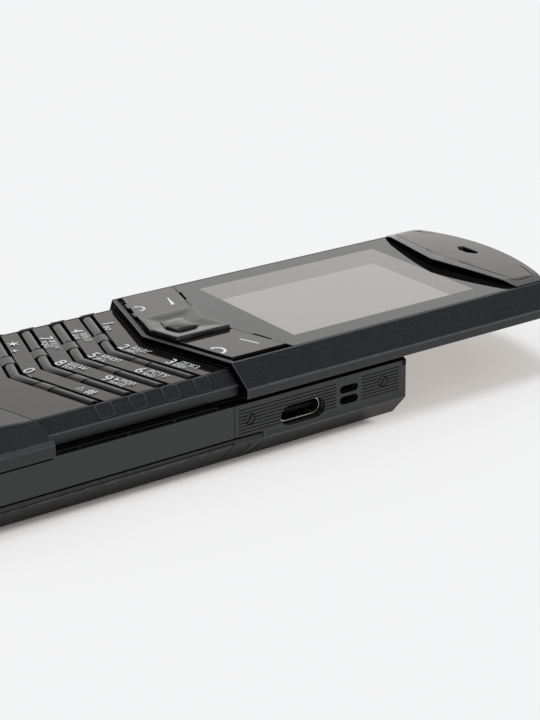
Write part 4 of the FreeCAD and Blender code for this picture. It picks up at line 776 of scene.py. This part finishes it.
def key_bar(key, row, span):
    """A half-round key bar, narrower than its slot, which leaves a dark gap round it."""
    x0, x1 = span
    v0, v1 = ROW_V[row] + KEY_FRONT, ROW_V[row] + KEY_BACK
    z0, z1 = KEY_FOOT, top_of(f"key_{key}")
    shape = bmesh.new()
    bmesh.ops.create_cube(shape, size=1.0)
    bmesh.ops.scale(shape, vec=(x1 - x0, v1 - v0, z1 - z0), verts=shape.verts)
    bmesh.ops.translate(
        shape, vec=((x0 + x1) / 2, (v0 + v1) / 2, (z0 + z1) / 2), verts=shape.verts
    )
    top = [e for e in shape.edges if all(v.co.z > z1 - 0.01 for v in e.verts)]
    along = [e for e in top if abs(e.verts[0].co.x - e.verts[1].co.x) > 0.1]
    rounded(shape, along, KEY_ROUND, 7)
    ends = [
        e
        for e in shape.edges
        if e.is_convex and e.calc_face_angle(0.0) > math.radians(60)
        and all(v.co.z > z0 + 0.05 for v in e.verts)
        and abs(e.verts[0].co.x - e.verts[1].co.x) < 0.01
    ]
    rounded(shape, ends, KEY_END_ROUND, 3)
    if x0 < 0 < x1:
        cut(shape, 0, 0.0)
    lean(shape)
    in_metres(shape)
    node = f"key_{key}"
    return stand(f"{node}_bar", shape, FINISHES["key_gloss"], node, node, sharp=50.0)


def dished(
    name, node, half, low, high, top, depth, hole=None, rounding=0.24, corner=0.55, reach=2.6, foot=16.6
):
    """A V-shaped button: dished (depth above 0) or domed, its rim rounded; sizes in mm.

    half is half its width, low and high its ends along the phone, hole the half width and
    ends of an opening, and reach how far from the rim the dish goes on falling.
    """
    shape = bmesh.new()
    steps, crowding = 32, 1.7                  # grid lines, closer together near the rim
    bmesh.ops.create_grid(shape, x_segments=steps, y_segments=steps, size=1.0)
    size = (half, (high - low) / 2)
    for vert in shape.verts:
        for axis in (0, 1):
            share = vert.co[axis]
            vert.co[axis] = math.copysign(size[axis] * (1.0 - (1.0 - abs(share)) ** crowding), share)
    if hole:
        for axis, at in ((0, hole[0]), (0, -hole[0]), (1, hole[1]), (1, hole[2])):
            cut(shape, axis, at - (axis * (low + high) / 2))
        inside = [
            f
            for f in shape.faces
            if abs(f.calc_center_median().x) < hole[0]
            and hole[1] < f.calc_center_median().y + (low + high) / 2 < hole[2]
        ]
        bmesh.ops.delete(shape, geom=inside, context="FACES")
    for vert in shape.verts:
        x, y = vert.co.x, vert.co.y
        over = [max(0.0, abs(c) - (s - corner)) for c, s in ((x, size[0]), (y, size[1]))]
        if min(over) > 0.0:
            pull = max(over) / math.hypot(*over)
            over = [o * pull for o in over]
            vert.co.x = math.copysign(size[0] - corner + over[0], x)
            vert.co.y = math.copysign(size[1] - corner + over[1], y)
            rim = corner - math.hypot(*over)
        else:
            rim = min(size[0] - abs(x), size[1] - abs(y))
        bend = max(0.0, rounding - rim)
        fall = min(1.0, max(0.0, (rim - 0.6 * rounding) / reach))
        vert.co.z = -(rounding - math.sqrt(max(0.0, rounding**2 - bend**2)))
        if depth > 0.0:
            vert.co.z -= depth * fall * fall * (3.0 - 2.0 * fall)
        else:
            vert.co.z -= depth * (1.0 - (x / size[0]) ** 2) * (1.0 - (y / size[1]) ** 2)
    edge = [e for e in shape.edges if e.is_boundary]
    wall = bmesh.ops.extrude_edge_only(shape, edges=edge)
    for vert in (g for g in wall["geom"] if isinstance(g, bmesh.types.BMVert)):
        vert.co.z = foot - top
    bmesh.ops.translate(shape, vec=(0.0, (low + high) / 2, top), verts=shape.verts)
    lean(shape)
    in_metres(shape)
    return stand(name, shape, FINISHES["pad_gloss"], NODE_BODY[node], node, sharp=60.0)


ROW_V = (-2.96, -9.15, -15.34, -21.53)         # v of the front edge of each row's slots
KEY_SPANS = ((-17.9, -8.845), (-5.345, 5.345), (8.845, 17.9))   # ends of a row's three keys, x
LEFT_COLUMN = -6.0                             # signs left of it follow the left slope
HALF_SIGN = 0.39                               # half a digit's width, of its height
GROUPS = ((1.0, 1.15, 0.62), (0.8, 1.15, -0.80))   # size, x and y of upper and lower letters
LEGENDS = (
    # key, sign, its size, x and v of its middle, and its two letter groups or other words
    # (text, size, x and y from the sign's middle)
    ("1", "1", 1.0, -12.5, 1.55, (("oo", 1.3, 0.9, -0.5),)),
    ("2", "2", 1.0, -0.5, 1.45, "АБВГ ABC"),
    ("3", "3", 1.0, 10.45, 1.40, "ДЕЖЗ DEF"),
    ("4", "4", 1.0, -12.4, -4.85, "ИЙКЛ GHI"),
    ("5", "5", 1.0, -0.15, -4.85, "МНОП JKL"),
    ("6", "6", 1.0, 10.75, -4.95, "РСТУ MNO"),
    ("7", "7", 1.0, -12.4, -11.05, "ФХЦЧ PQRS"),
    ("8", "8", 1.0, -0.4, -11.05, "ШЩЪЫ TUV"),
    ("9", "9", 1.0, 10.5, -11.15, "ЬЭЮЯ WXYZ"),
    ("star", "", 1.0, -13.3, -17.3, (("+", 1.5, 2.5, -0.45),)),
    ("0", "0", 1.0, -0.4, -17.10, (("_", 1.2, 1.5, -0.75),)),
    ("hash", "#", 0.9, 14.1, -17.20, ()),
)


def star(radius, waist=0.24):
    """A flat bmesh of a thin six-pointed star, in mm; waist is a share of the radius."""
    shape = bmesh.new()
    bmesh.ops.create_circle(shape, cap_ends=True, segments=12, radius=radius)
    shape.verts.ensure_lookup_table()
    inner = [v for v in shape.verts if round(math.degrees(math.atan2(v.co.y, v.co.x))) % 60]
    bmesh.ops.scale(shape, vec=(waist, waist, 1.0), verts=inner)
    return shape


def arrow(radius=0.90, line=0.17):
    """A flat bmesh of a small outlined arrowhead that points up, in mm."""
    shape = bmesh.new()
    bmesh.ops.create_circle(shape, cap_ends=True, segments=3, radius=radius)
    outline = bmesh.ops.inset_region(shape, faces=shape.faces[:], thickness=line, use_boundary=True)
    inner = [f for f in shape.faces if f not in outline["faces"]]
    bmesh.ops.delete(shape, geom=inner, context="FACES")
    return shape


def handset(turn, size=1.0):
    """A flat bmesh of a telephone handset seen from the side, in mm."""
    shape = bmesh.new()
    inner, outer, half = 1.10 * size, 1.50 * size, math.radians(66)
    flare, splay, drop = 1.5, 0.10, -0.62      # of the ear and mouth pieces at its ends
    ends = [shape.verts.new((r * math.sin(-half), r * math.cos(half), 0.0)) for r in (inner, outer)]
    edge = shape.edges.new(ends)
    swept = bmesh.ops.spin(
        shape, geom=[edge, *ends], cent=(0, 0, 0), axis=(0, 0, -1), angle=2 * half, steps=10
    )
    last = [g for g in swept["geom_last"] if isinstance(g, bmesh.types.BMEdge)]
    for side, grip in ((-1, edge), (1, last[0])):
        grown = bmesh.ops.extrude_edge_only(shape, edges=[grip])
        tips = [g for g in grown["geom"] if isinstance(g, bmesh.types.BMVert)]
        middle = sum((v.co for v in tips), Vector()) / 2
        bmesh.ops.scale(
            shape, vec=(flare, flare, 1.0), space=Matrix.Translation(-middle), verts=tips
        )
        bmesh.ops.translate(shape, vec=(side * splay, drop, 0.0), verts=tips)
    bmesh.ops.rotate(shape, cent=(0, 0, 0), matrix=Matrix.Rotation(turn, 3, "Z"), verts=shape.verts)
    return shape


def rocker_tabs():
    """Two small ledges at the left rocker's front edge."""
    v, z, depth, height, edge = 6.48, 16.70, 0.6, 0.45, 0.08
    shape = bmesh.new()
    for x0, x1 in ((-16.3, -14.0), (-11.3, -9.2)):
        made = bmesh.ops.create_cube(shape, size=1.0)["verts"]
        bmesh.ops.scale(shape, vec=(x1 - x0, depth, height), verts=made)
        bmesh.ops.translate(shape, vec=((x0 + x1) / 2, v, z), verts=made)
    rounded(shape, shape.edges[:], edge, 2)
    lean(shape)
    in_metres(shape)
    return stand("rocker_tabs", shape, FINISHES["cap_gloss"], NODE_BODY["rocker_left"])


def bar(start, end, first, last):
    """A flat bmesh of a line from start to end whose width goes from first to last, in mm."""
    shape = bmesh.new()
    bmesh.ops.create_grid(shape, x_segments=1, y_segments=1, size=0.5)
    run = Vector(end) - Vector(start)
    side = Vector((-run.y, run.x)).normalized()
    for vert in shape.verts:
        far = vert.co.x > 0
        spot = Vector(end if far else start) + side * vert.co.y * (last if far else first)
        vert.co = (spot.x, spot.y, 0.0)
    return shape


# ---------------------------------------------------------------- operators


class PHONE_OT_finishes(bpy.types.Operator):
    """Makes every finish and gives each CAD node its own"""

    bl_idname = "phone.finishes"
    bl_label = "Finishes"

    def execute(self, context):
        FINISHES.update(make_finishes(context.scene))
        for name, node in frame["nodes"].items():
            node.data.materials.clear()
            node.data.materials.append(FINISHES[SPECIAL.get(name, NODE_SLOT[name])])
        return {"FINISHED"}


class PHONE_OT_base_shells(bpy.types.Operator):
    """Rounds the base's shells, panels, screws and rails, and paints shade in the gaps between them and
    round the screws
    """

    bl_idname = "phone.base_shells"
    bl_label = "Base shells"

    def execute(self, context):
        edge = context.scene.phone_shell.edge
        eased("rear_cover", edge * 1.3, segments=3)
        eased("main_frame", edge * 0.6)
        for side in ("left", "right"):
            eased(f"side_panel_{side}", 0.06)
            eased(f"ribbed_panel_{side}", 0.03)
        eased("edge_strips", 0.04)
        eased("side_screws", 0.05)
        eased("guide_rails", 0.03)
        eased("camera_window", 0.10)
        seams("side_seams", NODE_BODY["rear_cover"])
        screw_recess_shade()
        return {"FINISHED"}


class PHONE_OT_usb_socket(bpy.types.Operator):
    """Rounds the steel shell and the tongue of the USB socket"""

    bl_idname = "phone.usb_socket"
    bl_label = "USB socket"

    def execute(self, context):
        eased("usb_shell", 0.07)
        eased("usb_tongue", 0.05)
        return {"FINISHED"}


class PHONE_OT_keypad(bpy.types.Operator):
    """Rounds the bezel, fascia and end cap, and makes the key bars"""

    bl_idname = "phone.keypad"
    bl_label = "Keypad"

    def execute(self, context):
        edge = context.scene.phone_shell.edge
        # shoulders and other edges painted lighter: partly wear, partly painted highlight
        eased("keypad_bezel", edge * 0.7, broad=0.16, wear_highlight=(0.9, 0.15))
        eased("keypad_fascia", 0.05)
        eased("end_cap", edge, segments=3, broad=0.55, wear_highlight=(0.55, 0.3))
        eased("end_cap_plate", 0.12)
        for place, (key, *_) in enumerate(LEGENDS):
            key_bar(key, place // 3, KEY_SPANS[place % 3])
        return {"FINISHED"}


class PHONE_OT_legends(bpy.types.Operator):
    """Prints digits, letter groups and symbols beside the keys"""

    bl_idname = "phone.legends"
    bl_label = "Legends"

    def execute(self, context):
        keypad = context.scene.phone_keypad
        digit, letter = keypad.digit, keypad.letter
        for key, sign, size, x, v, more in LEGENDS:
            words = [(sign, digit * size, -HALF_SIGN * digit * size, 0.0)] if sign else []
            if isinstance(more, str):
                more = [(text, *place) for text, place in zip(more.split(), GROUPS)]
            words += [(text, letter * part, right, up) for text, part, right, up in more]
            side = -1 if x < LEFT_COLUMN else 1
            at = (x, v + side * CHEVRON * x)
            flat_print(f"legend_{key}", letters(words), "keypad_fascia", at, side * CHEVRON_TURN)
        flat_print("legend_arrow", arrow(), "keypad_fascia", (11.9, -14.25), CHEVRON_TURN)
        flat_print("legend_asterisk", star(1.35), "keypad_fascia", (-13.4, -13.65), -CHEVRON_TURN)
        return {"FINISHED"}


class PHONE_OT_slide_shells(bpy.types.Operator):
    """Rounds the frame, rear cover and runners of the slide, and paints shade on the frame's front faces
    """

    bl_idname = "phone.slide_shells"
    bl_label = "Slide shells"

    def execute(self, context):
        edge = context.scene.phone_shell.edge
        # shoulders and edges painted lighter: partly wear, partly painted highlight
        paint_front_shade(eased("slide_frame", edge * 0.55, broad=0.19))
        eased("slide_back_cover", edge)
        eased("slide_runners", 0.03)
        return {"FINISHED"}


class PHONE_OT_glass(bpy.types.Operator):
    """Rounds the cover glass over the display"""

    bl_idname = "phone.glass"
    bl_label = "Cover glass"

    def execute(self, context):
        eased("cover_glass", 0.08)
        return {"FINISHED"}


class PHONE_OT_controls(bpy.types.Operator):
    """Rounds and prints the rockers, and makes the direction pad and select button"""

    bl_idname = "phone.controls"
    bl_label = "Controls"

    def execute(self, context):
        eased("rocker_left", 0.06)
        eased("rocker_right", 0.06)
        dished("dpad_dish", "dpad", 6.2, 6.25, 17.5, 17.80, 0.42, hole=(2.75, 9.15, 14.15), reach=3.6)
        dished(
            "select_pillow", "select_button", 2.6, 9.3, 14.0, 17.68, -0.30,
            rounding=0.3, corner=0.5, foot=16.92,
        )
        flat_print("left_call_sign", handset(0.0, 0.9), "rocker_left", (-12.5, 11.15))
        flat_print("right_call_sign", handset(0.12, 1.15), "rocker_right", (13.9, 11.0))
        rocker_tabs()
        left = bar((-14.46, 18.64), (-10.65, 17.54), 0.20, 0.66)
        flat_print("left_choice_sign", left, "rocker_left", (0, 0))
        right = bar((11.44, 17.39), (15.29, 18.79), 0.30, 0.30)
        flat_print("right_choice_sign", right, "rocker_right", (0, 0))
        return {"FINISHED"}


class PHONE_OT_earpiece(bpy.types.Operator):
    """Rounds the earpiece cap and paints shade on its front wall"""

    bl_idname = "phone.earpiece"
    bl_label = "Earpiece cap"

    def execute(self, context):
        paint_front_shade(eased("earpiece_cap", 0.20, segments=3, angle=32.0, groove=0.16))
        return {"FINISHED"}


def white_room(stage):
    """World: even light, with a white backdrop for the eye.

    Glossy faces see a bright wall behind the phone and a dark room in front of it.
    """
    world = bpy.data.worlds.new("white_room")
    nodes = Nodes(world)
    ray = nodes.node("ShaderNodeLightPath")
    eye, gloss, clear = (
        Wire(nodes, ray.socket.node.outputs[kind])
        for kind in ("Is Camera Ray", "Is Glossy Ray", "Is Transmission Ray")
    )
    way = nodes.node("ShaderNodeTexCoord", output="Generated")
    split = nodes.node("ShaderNodeSeparateXYZ", inputs={0: way}).socket.node
    x, y, z = (Wire(nodes, split.outputs[i]) for i in range(3))
    away_x, away_y = -0.827, 0.563             # level way from the camera
    behind = nodes.ramp(away_y * y + away_x * x, 0.15, 0.60) * nodes.ramp(z, 0.72, 0.50)
    front = nodes.ramp(y, -0.25, -0.65)
    wall = nodes.blend(front, (0.30, 0.30, 0.31), (0.04, 0.04, 0.045))
    wall = nodes.blend(behind, wall, (0.97, 0.96, 0.95))
    wall = nodes.blend(eye, wall, (0.93, 0.93, 0.93))
    shaders = [
        nodes.node("ShaderNodeBackground", inputs={"Color": colour, "Strength": strength})
        for colour, strength in (((1.0, 1.0, 1.0, 1.0), stage.surround), (wall, 1.0))
    ]
    shown = nodes.node(
        "ShaderNodeMixShader", inputs={0: eye + gloss + clear, 1: shaders[0], 2: shaders[1]}
    )
    nodes.node("ShaderNodeOutputWorld", inputs={"Surface": shown})
    return world


PAPER_SIZE = 3.0                               # half the floor's width, m
SHADOW_PAINT_X, SHADOW_PAINT_Y = 21.2, (-51.0, 36.0)     # where the paper is painted as the phone's shadow, without glow and warmer, mm
LAMP_WAY = (0.10, -0.03, -1.0)                 # the way that the lamp's light goes
CAMERA_AT = (0.250753, -0.139408, 0.124412)    # m
AZIMUTH, HEIGHT, ROLL = -34.27, 21.28, -0.92   # way back to the camera and its roll, degrees


def paper_floor(stage):
    """A sheet of paper that glows a little by itself though it is no lamp, but not close to the phone,
    where it is painted darker and warmer as the phone's shadow.
    """
    paper = Finish("floor_paper", Specular_IOR_Level=0.1)
    fibre = paper.noise(30.0)
    paper.feed("Roughness", 0.85 + 0.05 * fibre)
    x, y, _ = paper.axes()
    near = (abs(x) - SHADOW_PAINT_X).above(y - SHADOW_PAINT_Y[1]).above(SHADOW_PAINT_Y[0] - y)
    outside_painted_shadow = paper.ramp(near, 0.3, 3.2)
    # painted shadow: warm colour near the phone; the cool floor colour elsewhere evens out the warm glow
    shade = paper.blend(outside_painted_shadow, (0.90, 0.86, 0.81), stage.floor)
    paper.feed("Base Color", paper.blend(fibre * 0.02, shade, (0.8, 0.8, 0.8)))
    # the paper's own glow, painted light; warm, so that shade on the paper comes out warm
    glow = paper.node("ShaderNodeEmission", inputs={"Color": (0.93, 0.855, 0.79, 1.0)})
    both = paper.node(
        "ShaderNodeMixShader",
        inputs={0: outside_painted_shadow * stage.glow, 1: Wire(paper, paper.shader.outputs[0]), 2: glow},
    )
    paper.tree.links.new(both.socket, paper.output.inputs["Surface"])
    shape = bmesh.new()
    bmesh.ops.create_grid(shape, x_segments=8, y_segments=8, size=PAPER_SIZE)
    mesh = bpy.data.meshes.new("floor")
    shape.to_mesh(mesh)
    shape.free()
    mesh.materials.append(paper.material)
    return bpy.data.objects.new("floor", mesh)


def soft_lamp(stage):
    """A wide, cool lamp above the phone that glossy faces don't show."""
    soft = bpy.data.lights.new("soft_lamp", "SUN")
    soft.angle, soft.energy = math.radians(24), stage.lamp
    soft.color = (0.97, 1.0, 1.04)
    lamp = bpy.data.objects.new("soft_lamp", soft)
    lamp.rotation_euler = Vector(LAMP_WAY).to_track_quat("-Z", "Y").to_euler()
    lamp.visible_glossy = False
    return lamp


def near_camera(stage):
    """The camera, low over the phone's right side."""
    azimuth, height, roll = (math.radians(turn) for turn in (AZIMUTH, HEIGHT, ROLL))
    away = Vector(
        (math.cos(height) * math.cos(azimuth), math.cos(height) * math.sin(azimuth), math.sin(height))
    )
    level = (-away).cross(Vector((0, 0, 1))).normalized()
    upward = level.cross(-away)
    right = math.cos(roll) * level + math.sin(roll) * upward
    over = -math.sin(roll) * level + math.cos(roll) * upward
    view = bpy.data.cameras.new("camera")
    view.sensor_fit, view.sensor_width, view.lens = "HORIZONTAL", 36.0, stage.lens
    view.clip_start, view.clip_end = 0.005, 20.0
    camera = bpy.data.objects.new("camera", view)
    turned = Matrix((right, over, away)).transposed().to_4x4()
    camera.matrix_world = Matrix.Translation(CAMERA_AT) @ turned
    return camera


class PHONE_OT_stage(bpy.types.Operator):
    """Makes the floor, the soft light and the camera"""

    bl_idname = "phone.stage"
    bl_label = "Floor, light and camera"

    def execute(self, context):
        scene = context.scene
        stage = scene.phone_stage
        floor, camera = paper_floor(stage), near_camera(stage)
        for thing in (floor, soft_lamp(stage), camera):
            scene.collection.objects.link(thing)
        scene.world = white_room(stage)
        scene.camera = camera
        scene.view_settings.view_transform = "Standard"
        return {"FINISHED"}


OPERATORS = (
    PHONE_OT_finishes,
    PHONE_OT_base_shells,
    PHONE_OT_usb_socket,
    PHONE_OT_keypad,
    PHONE_OT_legends,
    PHONE_OT_slide_shells,
    PHONE_OT_glass,
    PHONE_OT_controls,
    PHONE_OT_earpiece,
    PHONE_OT_stage,
)


class PHONE_PT_panel(bpy.types.Panel):
    """Lists the phone's settings and steps"""

    bl_idname = "PHONE_PT_panel"
    bl_label = "Slider phone"
    bl_space_type = "VIEW_3D"
    bl_region_type = "UI"
    bl_category = "Slider phone"

    def draw(self, context):
        for name in SETTINGS:
            group = getattr(context.scene, name)
            box = self.layout.box()
            for key in group.bl_rna.properties.keys():
                if key not in ("rna_type", "name"):
                    box.prop(group, key)
        for operator in OPERATORS:
            self.layout.operator(operator.bl_idname)


SETTINGS = {
    "phone_shell": ShellSettings,
    "phone_keypad": KeypadSettings,
    "phone_display": DisplaySettings,
    "phone_stage": StageSettings,
}


def register():
    for group in SETTINGS.values():
        bpy.utils.register_class(group)
    for name, group in SETTINGS.items():
        setattr(bpy.types.Scene, name, PointerProperty(type=group))
    for operator in OPERATORS:
        bpy.utils.register_class(operator)
    bpy.utils.register_class(PHONE_PT_panel)


def unregister():
    bpy.utils.unregister_class(PHONE_PT_panel)
    for operator in reversed(OPERATORS):
        bpy.utils.unregister_class(operator)
    for name, group in SETTINGS.items():
        delattr(bpy.types.Scene, name)
        bpy.utils.unregister_class(group)


def main():
    """Makes every piece."""
    register()
    for operator in OPERATORS:
        family, step = operator.bl_idname.split(".")
        getattr(getattr(bpy.ops, family), step)()


if __name__ == "__main__":
    main()
